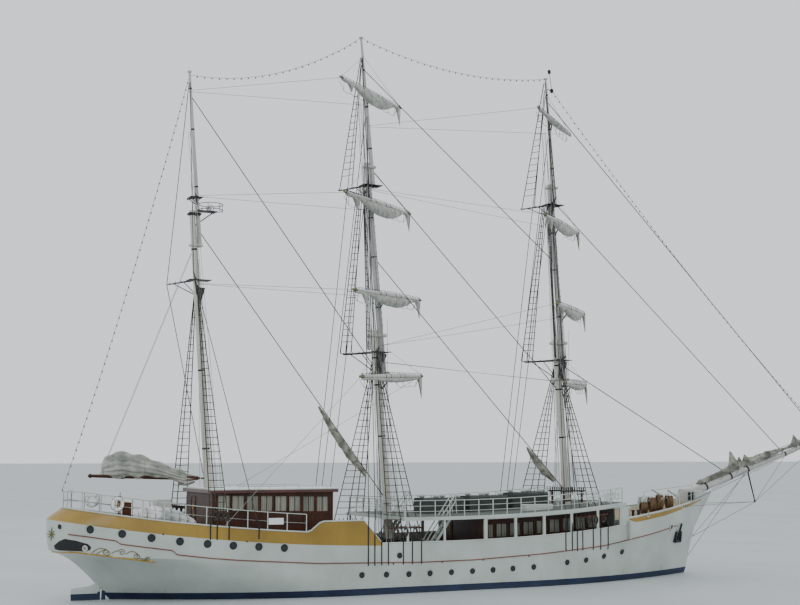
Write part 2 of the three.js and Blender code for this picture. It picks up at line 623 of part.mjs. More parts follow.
// Taut wires on the centreline: name, upper end, lower end.
const STAY_RADIUS = 0.028;
const HEADSTAYS = [
  ["fore_stay", alongMast(FORE, 14.05, 0.44), onBowsprit(25.0)],
  ["fore_topmast_stay", alongMast(FORE, 25.0, 0.94), onBowsprit(29.9)],
  ["fore_topgallant_stay", alongMast(FORE, 32.2, 0.77), onBowsprit(33.6)],
];
const MAST_STAYS = [
  ["mizzen_stay", alongMast(MIZZEN, 21.4, 0.34), alongMast(MAIN, 5.2)],
  ["mizzen_topmast_stay", alongMast(MIZZEN, 29.6, 0.34), alongMast(MAIN, 13.35)],
  ["main_stay", alongMast(MAIN, 20.5, 0.46), alongMast(FORE, 5.6)],
  ["main_topmast_stay", alongMast(MAIN, 26.2, 0.79), alongMast(FORE, 12.3)],
  ["main_topgallant_stay", alongMast(MAIN, 32.7, 0.79), alongMast(FORE, 21.0, 0.44)],
];

// One yard: the spar with thick middle, an eye behind it for the pin, built square across the ship at its pivot.
function yardSpar(yard) {
  const setting = yardSetting(yard);
  const middle = yard.half * 0.18;
  const pieces = [bar([setting, -middle, 0], [setting, middle, 0], yard.radius, yard.radius, 10)];
  for (const side of [-1, 1]) {
    const shoulder = [setting, side * (middle - 0.02), 0];
    const tip = [setting, side * yard.half, 0];
    pieces.push(bar(shoulder, tip, yard.radius * 0.998, yard.radius * 0.5, 10));
  }
  const eye = bar([0, 0, -0.07], [0, 0, 0.07 - GAP], EYE_RADIUS, EYE_RADIUS, 12);
  const neck = box(0, setting, -0.07, 0.07, -0.07, 0.07 - GAP);
  const hole = bar([0, 0, -1], [0, 0, 1], 0.045 + 0.006, 0.045 + 0.006, 12);
  return join(...pieces, eye, neck).subtract(hole);
}

// A closed body through rings of points, one ring for each step along it.
function lofted(rings) {
  const sides = rings[0].length;
  const index = [];
  for (let i = 0; i + 1 < rings.length; i++) {
    for (let j = 0; j < sides; j++) {
      const a = i * sides + j;
      const b = i * sides + ((j + 1) % sides);
      index.push(a, a + sides, b + sides, a, b + sides, b);
    }
  }
  const last = (rings.length - 1) * sides;
  for (let j = 1; j + 1 < sides; j++) {
    index.push(0, j, j + 1);
    index.push(last, last + j + 1, last + j);
  }
  const geometry = new THREE.BufferGeometry();
  geometry.setAttribute("position", new THREE.BufferAttribute(new Float32Array(rings.flat(2)), 3));
  geometry.setIndex(index);
  return solidOf(geometry);
}

// An oval ring across a line that runs along x or y.
function ovalRing(sides, place) {
  return Array.from({ length: sides }, (_, j) => {
    const a = (2 * Math.PI * j) / sides;
    return place(Math.cos(a), Math.sin(a));
  });
}

// A furled sail along its yard: shallow at the ends, a belly hanging under the middle, hollowed round the spar.
const SAIL_REACH = 0.93; // share of the yard that it covers
const BELLY_REACH = 0.72; // share of the yard where its belly hangs

function furledSail(yard) {
  const setting = yardSetting(yard);
  const rings = [];
  for (const share of [-1, -0.76, -0.62, -0.45, -0.2, 0.2, 0.45, 0.62, 0.76, 1]) {
    const along = share * SAIL_REACH;
    const swell = Math.max(0, 1 - (Math.abs(along) / BELLY_REACH) ** 2.4);
    const drop = 0.2 + yard.belly * swell;
    const across = 0.11 + 0.13 * swell;
    const ahead = setting + 0.1 + 0.06 * swell;
    rings.push(ovalRing(8, (c, s) => [ahead + across * c, along * yard.half, (drop / 2) * (s - 1)]));
  }
  const fit = GAP * 2;
  const middle = yard.half * 0.18;
  const spine = [bar([setting, -middle - 0.01, 0], [setting, middle + 0.01, 0], yard.radius + fit, yard.radius + fit, 10)];
  for (const side of [-1, 1]) {
    const shoulder = [setting, side * (middle - 0.02), 0];
    const tip = [setting, side * yard.half, 0];
    spine.push(bar(shoulder, tip, yard.radius + fit, yard.radius * 0.5 + fit, 10));
  }
  const behind = box(-1, setting - 0.02, -yard.half, yard.half, -2, 2);
  return lofted(rings).subtract(join(...spine)).subtract(behind);
}

// The boom's round spar, or with a fit the space that it takes.
function boomSpar(fit) {
  const [gx] = alongMast(MIZZEN, GOOSENECK.z);
  const inner = [gx - GOOSENECK.behind - 0.2, 0, GOOSENECK.z];
  return bar(inner, BOOM_END, BOOM_RADIUS + fit, BOOM_END_RADIUS + fit, 12);
}

function spankerBoom() {
  const [gx] = alongMast(MIZZEN, GOOSENECK.z);
  const pivot = gx - GOOSENECK.behind;
  const z = GOOSENECK.z;
  const eye = bar([pivot, 0, z - 0.1], [pivot, 0, z + 0.1], 0.1, 0.1, 16);
  const neck = box(pivot - 0.3, pivot, -0.06, 0.06, z - 0.1, z + 0.1);
  const hole = bar([pivot, 0, z - 1], [pivot, 0, z + 1], 0.051, 0.051, 16);
  return join(eye, neck, boomSpar(0)).subtract(hole);
}

// Spanker brailed up on its boom: slack below it at the mast, tall and full towards its after end.
const SPANKER = [
  // x, low, high, half width
  [-14.35, 6.3, 6.95, 0.12],
  [-15.0, 6.45, 7.12, 0.2],
  [-15.8, 6.66, 7.36, 0.24],
  [-16.6, 6.76, 7.66, 0.28],
  [-17.4, 6.78, 7.95, 0.32],
  [-18.3, 6.8, 8.15, 0.36],
  [-19.1, 6.82, 8.2, 0.32],
  [-19.8, 6.86, 7.85, 0.18],
];

function spankerSail() {
  const rings = SPANKER.map(([x, low, high, half]) =>
    ovalRing(10, (c, s) => [x, half * c, (low + high) / 2 + ((high - low) / 2) * s]),
  );
  return lofted(rings).subtract(boomSpar(GAP));
}

// Headsails lashed down along the bowsprit, one after another.
const FURLED_JIBS = [
  // x, centre above the spar's axis, half width, half depth
  [22.0, 0.46, 0.1, 0.1],
  [22.6, 0.46, 0.16, 0.16],
  [24.0, 0.46, 0.2, 0.2],
  [25.4, 0.5, 0.24, 0.26],
  [26.1, 0.48, 0.18, 0.18],
  [27.0, 0.46, 0.24, 0.27],
  [28.5, 0.44, 0.23, 0.25],
  [29.9, 0.36, 0.14, 0.14],
  [31.0, 0.35, 0.17, 0.18],
  [32.8, 0.32, 0.14, 0.16],
  [33.4, 0.28, 0.07, 0.07],
];

function furledJibs() {
  const rings = FURLED_JIBS.map(([x, up, wide, deep]) => {
    const [, , z] = onBowsprit(x);
    return ovalRing(8, (c, s) => [x, wide * c, z + up + deep * s]).reverse();
  });
  const spine = bar(onBowsprit(21), onBowsprit(27.0), 0.27 + GAP, 0.22 + GAP, 14);
  const boom = bar(onBowsprit(26.9), BOWSPRIT.tip, 0.2 + GAP, 0.1 + GAP, 14);
  const band = bar(onBowsprit(26.34), onBowsprit(26.61), 0.29 + GAP, 0.29 + GAP, 14);
  const wires = HEADSTAYS.map(([, from, to]) => bar(from, to, STAY_RADIUS + GAP * 2, STAY_RADIUS + GAP * 2, 8));
  return lofted(rings).subtract(join(spine, boom, band, ...wires));
}

function rudder() {
  const stock = bar([RUDDER_X, 0, -3.06 + GAP], [RUDDER_X, 0, 1.0], STOCK_RADIUS);
  const blade = acrossShip(
    [
      [RUDDER_X - 0.02, -2.98], [RUDDER_X - 0.02, 0.12], [-20.6, 0.62], [-21.3, 0.66],
      [-21.4, 0.3], [-21.25, -1.2], [-21.1, -2.6], [-20.8, -2.98],
    ].reverse(),
    -0.08, 0.08,
  );
  return stock.add(blade);
}

// Four raked blades on a hub.
function propeller() {
  const hub = bar([-18.68 - GAP, 0, SHAFT_HEIGHT], [PROPELLER_X - 0.22, 0, SHAFT_HEIGHT], 0.2, 0.15);
  const cone = bar([PROPELLER_X - 0.21, 0, SHAFT_HEIGHT], [PROPELLER_X - 0.34, 0, SHAFT_HEIGHT], 0.14, 0.05);
  const pieces = [hub, cone];
  const outline = [[0.1, -0.1], [0.5, -0.28], [0.85, -0.24], [1.0, -0.05], [0.98, 0.12], [0.7, 0.3], [0.4, 0.24], [0.1, 0.1]];
  const shape = new THREE.Shape(outline.map(([r, w]) => new THREE.Vector2(r * PROPELLER_RADIUS, w)));
  for (let i = 0; i < 4; i++) {
    const blade = new THREE.ExtrudeGeometry(shape, { depth: 0.04, bevelEnabled: false });
    blade.translate(0, 0, -0.02);
    blade.rotateX(0.6);
    blade.rotateY(-Math.PI / 2);
    blade.rotateX((i * Math.PI) / 2);
    blade.translate(PROPELLER_X, 0, SHAFT_HEIGHT);
    pieces.push(solidOf(blade));
  }
  return join(...pieces);
}

// Steering wheel on its pedestal, on the poop behind the mizzen mast.
const HELM = { x: -18.75, hub: 1.12, radius: 0.52, shaft: 0.03 };
const helmHubZ = poopDeck(HELM.x) + HELM.hub;

function helmPedestal() {
  const floor = poopDeck(HELM.x) - 0.2;
  const column = box(HELM.x + 0.12, HELM.x + 0.62, -0.24, 0.24, floor, helmHubZ + 0.22);
  const foot = box(HELM.x + 0.06, HELM.x + 0.68, -0.3, 0.3, floor, floor + 0.3);
  const shaft = bar([HELM.x - 0.12, 0, helmHubZ], [HELM.x + 0.2, 0, helmHubZ], HELM.shaft);
  return seated(join(column, foot, shaft), poopDeck, HELM.x - 1, HELM.x + 1);
}

function helmWheel() {
  const rim = new THREE.TorusGeometry(HELM.radius, 0.035, 6, 16);
  rim.rotateY(Math.PI / 2);
  rim.translate(HELM.x, 0, helmHubZ);
  const pieces = [solidOf(rim)];
  pieces.push(bar([HELM.x - 0.06, 0, helmHubZ], [HELM.x + 0.06, 0, helmHubZ], 0.1));
  for (let i = 0; i < 8; i++) {
    const a = (i * Math.PI) / 4;
    const point = (r) => [HELM.x, r * Math.cos(a), helmHubZ + r * Math.sin(a)];
    pieces.push(bar(point(0.06), point(HELM.radius + 0.2), 0.025, 0.02, 4));
  }
  const bore = HELM.shaft + 0.002;
  const hole = bar([HELM.x - 1, 0, helmHubZ], [HELM.x + 1, 0, helmHubZ], bore);
  return join(...pieces).subtract(hole);
}

// Windlass: two side frames, a drum between them and its cable wheels.
function windlass() {
  const x = 17.9;
  const deck = foreDeck(x);
  const frames = [-0.8, 0.8].map((y) => box(x - 0.35, x + 0.35, y - 0.06, y + 0.06, deck - 0.2, deck + 0.85));
  const drum = bar([x, -1.25, deck + 0.5], [x, 1.25, deck + 0.5], 0.16, 0.16, 14);
  const wheels = [-0.45, 0.45].map((y) => bar([x, y - 0.12, deck + 0.5], [x, y + 0.12, deck + 0.5], 0.32, 0.32, 14));
  return seated(join(drum, ...frames, ...wheels), foreDeck, x - 2, x + 2);
}

// Anchor housed against the bow: shank, crown and two flukes.
const ANCHOR = { x: 18.9, z: 3.02, proud: 0.005 };

function anchor(side) {
  const skin = (halfBreadth(ANCHOR.x, 7) + halfBreadth(ANCHOR.x, 8)) / 2;
  const shank = bar([0.3, 0, 0.45], [-0.1, 0, -0.75], 0.07, 0.08, 8);
  const crown = bar([-0.1, -0.28, -0.75], [-0.1, 0.28, -0.75], 0.11, 0.11, 8);
  const arms = [-0.3, 0.3].map((y) => acrossShip([[-0.22, -0.82], [0.02, -0.82], [0.1, -0.1], [0.02, -0.08]], y - 0.06, y + 0.06));
  const anchorSolid = join(shank, crown, ...arms).rotate([0, 0, side * 68]);
  const hull = hullForm({ grow: GAP });
  return anchorSolid.translate([ANCHOR.x, side * (skin + ANCHOR.proud), ANCHOR.z]).subtract(hull);
}

// A main stay from one place to another, ended just short of the spars that it meets.
function stay(from, to) {
  const spars = Object.keys(POLES).map((name) => poleSolid(name, GAP));
  spars.push(bar(BOWSPRIT.heel, onBowsprit(27.0), 0.27 + GAP, 0.22 + GAP, 14));
  spars.push(bar(onBowsprit(26.9), BOWSPRIT.tip, 0.2 + GAP, 0.1 + GAP, 14));
  spars.push(...caps("main_top", "main_topgallant", GAP), ...caps("fore_top", "fore_topgallant", GAP));
  return bar(from, to, STAY_RADIUS, STAY_RADIUS, 8).subtract(join(...spars));
}

// Each yard's brace joint turns about its pin; the group sets it at its brace.
function yardGroup(mast, yard) {
  const group = new THREE.Group();
  const [x, , z] = alongMast(mast, yard.z, yard.stepped);
  const tilt = Math.atan(mast.rake);
  const pivot = yard.offset - yardSetting(yard);
  group.position.set(x + pivot * Math.cos(tilt), 0, z + pivot * Math.sin(tilt));
  group.rotation.set(0, -tilt, 0);
  const turned = new THREE.Group();
  turned.rotation.set(0, 0, (-yard.brace * Math.PI) / 180);
  turned.add(named(yard.name + "_yard", yardSpar(yard), spar()));
  turned.add(named("furled_" + yard.name, furledSail(yard), canvas()));
  group.add(turned);
  return group;
}

function named(name, solid, material) {
  const mesh = new THREE.Mesh(geometryOf(solid), material);
  mesh.name = name;
  return mesh;
}

const ship = new THREE.Group();
ship.scale.setScalar(MODEL_MM_PER_METRE);
const add = (name, solid, material) => ship.add(named(name, solid, material));

add("hull", hullBody(), white());
add("poop", poopBlock(), white());
add("forecastle", forecastleBlock(), white());
for (const [label, side] of [["starboard", -1], ["port", 1]]) {
  add("poop_bulwark_" + label, poopBulwark(side), ochre());
  add("shelter_side_" + label, shelterSide(side), white());
  add("poop_rail_" + label, poopRail(side), white());
  add("upper_rail_" + label, upperRail(side), white());
  add("waist_ladder_" + label, waistLadder(side), white());
  add("anchor_" + label, anchor(side), iron());
}
add("upper_deck", upperDeck(), white());
add("midship_house", midshipHouse(), varnish());
add("aft_deckhouse", aftDeckhouse(), varnish());
add("aft_deckhouse_roof", aftDeckhouseRoof(), white());
add("midship_house_door", houseDoor(MID_HOUSE, raised(deckLine, GAP)), varnish());
add("aft_deckhouse_door", houseDoor(AFT_HOUSE, raised(poopDeck, GAP)), varnish());
add("main_lower_mast", mainLowerMast(), spar());
add("main_topmast", mainTopmast(), spar());
add("fore_lower_mast", foreLowerMast(), spar());
add("fore_topmast", foreTopmast(), spar());
add("mizzen_lower_mast", mizzenLowerMast(), spar());
add("mizzen_topmast", mizzenTopmast(), spar());
add("bowsprit", bowsprit(), spar());
for (const yard of MAIN_YARDS) ship.add(yardGroup(MAIN, yard));
for (const yard of FORE_YARDS) ship.add(yardGroup(FORE, yard));
add("spanker_boom", spankerBoom(), varnish());
add("furled_spanker", spankerSail(), canvas());
add("rudder", rudder(), white());
add("propeller", propeller(), bronze());
add("helm_pedestal", helmPedestal(), varnish());
add("helm_wheel", helmWheel(), varnish());
add("windlass", windlass(), white());
add("furled_jibs", furledJibs(), canvas());
for (const [name, from, to] of [...HEADSTAYS, ...MAST_STAYS]) add(name, stay(from, to), iron());

export default ship;
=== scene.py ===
# A three-masted barque afloat, dressed over its fixed frame at half size.
# Lengths are metres of the full-size ship; made() and grown() turn them into model metres.
# X runs to the bow, Y to port, Z up from the waterline.
import math
import random

import bmesh
import bpy
import numpy as np
from mathutils import Matrix, Vector
from mathutils.bvhtree import BVHTree


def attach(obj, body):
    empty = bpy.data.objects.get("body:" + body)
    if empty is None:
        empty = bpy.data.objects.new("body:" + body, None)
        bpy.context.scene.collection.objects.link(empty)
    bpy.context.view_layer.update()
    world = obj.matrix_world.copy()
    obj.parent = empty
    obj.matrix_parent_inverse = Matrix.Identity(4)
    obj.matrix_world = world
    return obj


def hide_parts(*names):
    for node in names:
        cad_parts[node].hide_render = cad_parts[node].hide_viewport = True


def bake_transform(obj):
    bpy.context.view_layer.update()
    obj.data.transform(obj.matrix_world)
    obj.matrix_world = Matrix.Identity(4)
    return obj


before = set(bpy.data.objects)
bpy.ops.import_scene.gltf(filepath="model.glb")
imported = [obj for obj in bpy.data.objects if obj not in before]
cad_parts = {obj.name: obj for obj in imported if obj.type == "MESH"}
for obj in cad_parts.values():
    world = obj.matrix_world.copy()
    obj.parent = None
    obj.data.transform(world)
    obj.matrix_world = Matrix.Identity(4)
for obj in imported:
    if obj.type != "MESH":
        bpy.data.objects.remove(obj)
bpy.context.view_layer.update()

SCALE = 0.5  # model metres for each metre of the ship
SHIP = "ship"
SIDES = ((-1, "starboard"), (1, "port"))
TURN, QUARTER = 2 * math.pi, math.pi / 2


# colours and materials
def linear(hex_colour):
    channels = [int(hex_colour[i:i + 2], 16) / 255 for i in (1, 3, 5)]
    return tuple(c / 12.92 if c <= 0.04045 else ((c + 0.055) / 1.055) ** 2.4 for c in channels) + (1.0,)


def put(tree, socket, value):
    """Feeds a socket from another one, or sets its value."""
    if isinstance(value, bpy.types.NodeSocket):
        tree.links.new(value, socket)
    else:
        socket.default_value = value


def add(tree, kind, inputs=None, **settings):
    """Adds a node with its settings; an input is a value or the socket that feeds it."""
    node = tree.nodes.new(kind)
    for key, value in settings.items():
        setattr(node, key, value)
    for key, value in (inputs or {}).items():
        put(tree, node.inputs[key], value)
    return node


class Coat:
    """A material in the making: its tree, its shader and the object coordinates."""

    def __init__(self, name, slot, roughness=0.5, metallic=0.0, ior=1.5, **extra):
        self.made = bpy.data.materials.new(name)
        self.made.use_nodes = True
        self.tree = self.made.node_tree
        self.shader = self.tree.nodes["Principled BSDF"]
        for key, value in {"Roughness": roughness, "Metallic": metallic, "IOR": ior, **extra}.items():
            self.shader.inputs[key.replace("_", " ")].default_value = value
        self.place = self.tree.nodes.new("ShaderNodeTexCoord").outputs["Object"]

    def add(self, kind, inputs=None, **settings):
        return add(self.tree, kind, inputs, **settings)

    def blotches(self, scale, stops, stretch=(1, 1, 1), detail=4.0):
        """Noise at scale cycles a metre, drawn through colour stops (share, hex)."""
        mapped = self.add("ShaderNodeMapping", {"Vector": self.place, "Scale": stretch})
        noise = self.add("ShaderNodeTexNoise", {"Vector": mapped.outputs[0], "Scale": scale,
                                                "Detail": detail})
        ramp = self.add("ShaderNodeValToRGB", {"Fac": noise.outputs["Fac"]})
        points = ramp.color_ramp.elements
        while len(points) < len(stops):
            points.new(0.5)
        for point, (share, colour) in zip(points, stops):
            point.position = share
            point.color = linear(colour)
        return noise.outputs["Fac"], ramp.outputs["Color"]

    def waves(self, scale, distortion, direction="DIAGONAL"):
        inputs = {"Vector": self.place, "Scale": scale, "Distortion": distortion}
        return self.add("ShaderNodeTexWave", inputs, bands_direction=direction).outputs["Fac"]

    def spread(self, source, low, high, **between):
        """A 0 to 1 source, or one between other limits, stretched from low to high."""
        limits = {"Value": source, "To Min": low, "To Max": high,
                  **{k.replace("_", " "): v for k, v in between.items()}}
        return self.add("ShaderNodeMapRange", limits).outputs[0]

    def times(self, a, b):
        return self.add("ShaderNodeMath", {0: a, 1: b}, operation="MULTIPLY").outputs[0]

    def over(self, factor, below, above, mode="MIX"):
        inputs = {0: factor, 6: below, 7: above}
        return self.add("ShaderNodeMix", inputs, data_type="RGBA", blend_type=mode).outputs[2]

    def shaded(self, colour, shade):
        return self.over(1.0, colour, shade, "MULTIPLY")

    def relief(self, height, strength, depth):
        bump = self.add("ShaderNodeBump", {"Strength": strength, "Distance": depth, "Height": height})
        normal = self.shader.inputs["Normal"]
        if normal.links:
            self.tree.links.new(normal.links[0].from_socket, bump.inputs["Normal"])
        self.tree.links.new(bump.outputs[0], normal)

    def done(self, colour, *reliefs, gloss=None):
        """Joins the colour, the reliefs (height, strength, depth) and the gloss (source, low, high)."""
        self.tree.links.new(colour, self.shader.inputs["Base Color"])
        for each in reliefs:
            self.relief(*each)
        if gloss:
            self.tree.links.new(self.spread(*gloss), self.shader.inputs["Roughness"])
        return self.made


BLACK_TO_WHITE = [(0, "#000000"), (1, "#ffffff")]


def plate_enamel(name, slot, pale, dark, streak, rust, roughness):
    """Brushed alkyd enamel over steel plates: plate edges, slight waves between frames, faint runs."""
    coat = Coat(name, slot, roughness, Coat_Weight=0.25, Coat_Roughness=0.12)
    wave, colour = coat.blotches(0.9, [(0.35, dark), (0.65, pale)])
    _, runs = coat.blotches(5.0, [(0.5, "#000000"), (0.78, "#ffffff")], (1.6, 1.6, 0.12), 6.0)
    colour = coat.over(coat.times(runs, streak), colour, linear(rust))
    # plates 6 m by 1.3 m of the ship, turned to run along its side, their lap drawn 8 mm wide to show
    along = coat.add("ShaderNodeMapping", {"Vector": coat.place, "Rotation": (-QUARTER, 0, 0)}).outputs[0]
    plates = coat.add("ShaderNodeTexBrick", {
        "Vector": along, "Scale": 1.0, "Mortar Size": 0.004, "Mortar Smooth": 0.6, "Brick Width": 3.0,
        "Row Height": 0.66, "Color1": (1, 1, 1, 1), "Color2": (1, 1, 1, 1), "Mortar": (0, 0, 0, 1)},
                      offset=0.5).outputs["Color"]
    colour = coat.over(0.05, colour, plates, "MULTIPLY")
    frames, _ = coat.blotches(1.6, [(0, dark), (1, pale)], (1, 1, 0.5), 1.0)
    return coat.done(colour, (plates, 0.25, 0.003), (frames, 0.12, 0.02),
                     gloss=(wave, roughness - 0.06, roughness + 0.1))


# White gloss enamel, brushed, laid in a greenish grey over its white as painted shade, with soft
# reflections and the plates just showing.
white_enamel = plate_enamel("white_gloss_enamel_greyed_as_painted_shade", "white_paint", "#BFC6C0", "#AEB6AF", 0.10,
                            "#A98E74", 0.28)
# Ochre enamel of the same sort, a little flatter where sun has worked on it.
ochre_enamel = plate_enamel("ochre_enamel_on_steel", "ochre_paint", "#A07F28", "#8C6E1E", 0.14, "#7A4E22",
                            0.34)
# Oxide-red enamel on the rubbing strips.
oxide_enamel = plate_enamel("oxide_red_enamel_on_steel", "varnished_wood", "#85503C", "#6E4030", 0.12,
                            "#4A2A20", 0.38)
# Maroon enamel on the deckhouse fascia.
maroon_enamel = plate_enamel("maroon_enamel_on_wood", "white_paint", "#5A2A26", "#4A211F", 0.08, "#2E1715",
                             0.34)


def bottom_paint():
    """Dark blue copper bottom paint: flat, chalky, with a tide of weed and scuffs by the waterline."""
    coat = Coat("blue_copper_bottom_paint", "blue_paint", 0.62)
    patch, colour = coat.blotches(1.8, [(0.3, "#0F1B38"), (0.6, "#152647"), (0.85, "#23385A")])
    height = coat.add("ShaderNodeSeparateXYZ", {"Vector": coat.place}).outputs["Z"]
    tide = coat.spread(height, 0.55, 0.0, From_Min=-0.05, From_Max=0.12)
    weed, _ = coat.blotches(9.0, BLACK_TO_WHITE, (1, 1, 0.4), 8.0)
    colour = coat.over(coat.times(tide, weed), colour, linear("#3E4A3C"))
    return coat.done(colour, (weed, 0.2, 0.003), gloss=(patch, 0.5, 0.75))


def spar_enamel(name, pale, dark):
    """Satin enamel over steel tube: faint runs and grime below the fittings, brush marks along the spar."""
    coat = Coat(name, "spar_paint", 0.42, Coat_Weight=0.1, Coat_Roughness=0.2)
    _, colour = coat.blotches(2.2, [(0.3, dark), (0.7, pale)], (1, 1, 0.35))
    _, runs = coat.blotches(14.0, [(0.55, "#000000"), (0.85, "#ffffff")], (1, 1, 0.08), 6.0)
    colour = coat.over(coat.times(runs, 0.22), colour, linear("#8B7F6C"))
    brushed, _ = coat.blotches(60.0, [(0, dark), (1, pale)], (1, 1, 0.1))
    return coat.done(colour, (brushed, 0.08, 0.002), gloss=(brushed, 0.36, 0.5))


lower_spar_enamel = spar_enamel("cream_satin_enamel_on_steel", "#CFCDC2", "#BDBBB0")
upper_spar_enamel = spar_enamel("grey_satin_enamel_on_steel", "#BDBDB6", "#A8A9A3")


def mahogany(name, pale, mid, dark, along):
    """Mahogany under varnish: long grain with darker pores, deep gloss coat."""
    coat = Coat(name, "varnished_wood", 0.5, ior=1.45, Coat_Weight=0.12, Coat_Roughness=0.25,
                Specular_IOR_Level=0.3)
    grain, colour = coat.blotches(26.0, [(0.25, dark), (0.5, mid), (0.8, pale)], along, 8.0)
    _, broad = coat.blotches(3.0, [(0.35, "#C9C9C9"), (0.65, "#FFFFFF")])
    return coat.done(coat.shaded(colour, broad), (grain, 0.08, 0.001))


upright_mahogany = mahogany("varnished_mahogany_upright_grain", "#5E321C", "#472414", "#2E160C",
                            (1, 1, 0.06))
level_mahogany = mahogany("varnished_mahogany_level_grain", "#6A3A20", "#502A17", "#35190D", (0.06, 1, 1))


def deck_teak():
    """Scrubbed teak planks 120 mm wide laid along the ship, with black caulked seams."""
    coat = Coat("scrubbed_teak_planking", "deck_planking", 0.72)
    planks = coat.add("ShaderNodeTexBrick", {
        "Vector": coat.place, "Scale": 1.0, "Mortar Size": 0.003, "Mortar Smooth": 0.2, "Brick Width": 2.6,
        "Row Height": 0.06,
        "Color1": linear("#B39A76"), "Color2": linear("#9F8663"), "Mortar": linear("#2B2622")},
                      offset=0.37).outputs
    grain, shade = coat.blotches(40.0, [(0.3, "#CFCFCF"), (0.7, "#FFFFFF")], (0.05, 1, 1), 6.0)
    return coat.done(coat.shaded(planks["Color"], shade), (planks["Fac"], -0.4, 0.002),
                     gloss=(grain, 0.6, 0.85))


def sail_canvas(name, dark, mid, pale):
    """Furled polyester sailcloth: dull white, greyed in the folds as painted shade, a weave drawn at 6 mm
    so that it shows.
    """
    coat = Coat(name, "sailcloth", 0.85, Sheen_Weight=0.25, Sheen_Roughness=0.5)
    # the fold noise both dents the cloth and darkens it there: painted shade in the folds
    fold, colour = coat.blotches(3.5, [(0.3, dark), (0.48, mid), (0.7, pale)], (1, 1, 1.6), 5.0)
    _, stain = coat.blotches(1.1, [(0.5, "#FFFFFF"), (0.8, "#DAD3C4")])
    return coat.done(coat.shaded(colour, stain), (coat.waves(26.0, 1.0), 0.1, 0.001), (fold, 0.5, 0.02))


def laid_rope(name, slot, pale, dark, roughness, turns, metallic=0.0):
    """Laid strands: a slanting wave across the rope, drawn coarser than the real lay so that it shows, and
    darkening the grooves between strands as painted shade.
    """
    coat = Coat(name, slot, roughness, metallic)
    lay = coat.waves(turns, 0.4)
    _, colour = coat.blotches(8.0, [(0.3, dark), (0.7, pale)])
    # the lay's wave darkens the rope between its strands: painted shade in the grooves
    return coat.done(coat.shaded(colour, coat.spread(lay, 0.75, 1.0)), (lay, 0.4, 0.003))


# Galvanised wire rope, dulled to grey: the stays under the bowsprit and its nets.
galvanised_wire = laid_rope("dull_galvanised_wire_rope", "galvanised_wire", "#8B8F92", "#6C7073", 0.5, 24.0,
                            0.5)
# Tarred hemp: stays, shrouds, ratlines and backstays, near black.
tarred_hemp = laid_rope("tarred_hemp_rope", "tarred_rope", "#4A423B", "#332D28", 0.8, 30.0)
# Manila: hawsers and lashings, straw to brown.
manila_rope = laid_rope("manila_rope", "tarred_rope", "#7E6344", "#58422A", 0.85, 18.0)
# Polyester running line, weathered grey-white.
braided_line = laid_rope("weathered_polyester_line", "tarred_rope", "#A9ABA9", "#8C8F8F", 0.8, 30.0)


def worn_coat(name, slot, pale, dark, roughness, metallic, speckle):
    """A worn surface: colour and gloss shift over a few centimetres."""
    coat = Coat(name, slot, roughness, metallic)
    worn, colour = coat.blotches(speckle, [(0.3, dark), (0.7, pale)], detail=6.0)
    return coat.done(colour, (worn, 0.15, 0.001), gloss=(worn, max(0.05, roughness - 0.1),
                                                         roughness + 0.12))


# Forged iron under black paint.
black_iron = worn_coat("black_painted_iron", "black_iron", "#26282A", "#15171A", 0.5, 0.3, 14.0)
# Dark slate canvas over the benches of the shelter deck.
slate_cover = worn_coat("slate_canvas_cover", "sailcloth", "#454B47", "#2E3330", 0.85, 0.0, 3.0)
# Grey-green non-slip paint on the shelter deck.
deck_paint = worn_coat("grey_green_deck_paint", "deck_planking", "#5B635C", "#474F49", 0.8, 0.0, 5.0)
# Cast propeller bronze, dulled by the water.
cast_bronze = worn_coat("cast_bronze", None, "#B08648", "#7C5A2C", 0.38, 0.9, 10.0)
# Polished brass of the compass, door knobs and wheel.
polished_brass = worn_coat("polished_brass", None, "#D0A458", "#A97F3C", 0.2, 1.0, 16.0)
# Gold paint with a metal flake on the knuckle moulding.
gold_paint = worn_coat("gold_leaf_paint", "ochre_paint", "#C7A24A", "#97762E", 0.35, 0.55, 22.0)
# The same paint gone olive with age and darkened further as painted shade, on the scrolls and the yards'
# ends.
aged_gilding_with_painted_shade = worn_coat("aged_olive_gilding_with_painted_shade", "ochre_paint", "#8B8345", "#57542C", 0.45, 0.4, 26.0)
# White moulded plastic of the life rings, the board and the radar.
white_plastic = worn_coat("white_moulded_plastic", "white_paint", "#EDEEEE", "#DFE1E2", 0.4, 0.0, 6.0)


def dark_glass():
    """Toughened window glass, dark with tint and with the unlit room behind it painted into its colour as
    shade: sharp reflections over near-black.
    """
    coat = Coat("tinted_window_glass_with_painted_dark_room", "window_glass", 0.05, ior=1.52, Transmission_Weight=0.35)
    ripple, colour = coat.blotches(2.5, [(0.3, "#1C2529"), (0.7, "#2C383D")])
    return coat.done(colour, (ripple, 0.03, 0.002))


def curtained_glass():
    """Window glass before a drawn beige curtain: pale upright folds with painted shade between them, under
    a smooth reflection.
    """
    coat = Coat("curtained_window_glass", "window_glass", 0.12, ior=1.52)
    folds = coat.waves(5.5, 2.5, "X")
    tint, colour = coat.blotches(1.3, [(0.35, "#6C6E63"), (0.62, "#A3A393")], (1, 1, 0.3))
    # the fold wave darkens the curtain between its folds: painted shade
    return coat.done(coat.shaded(colour, coat.spread(folds, 0.62, 1.0)), (tint, 0.03, 0.002))


def lamp_glass():
    """Frosted bulbs, unlit."""
    coat = Coat("frosted_lamp_glass", "white_paint", 0.35)
    return coat.done(coat.blotches(30.0, [(0.3, "#6E6E63"), (0.7, "#8C8C80")])[1])


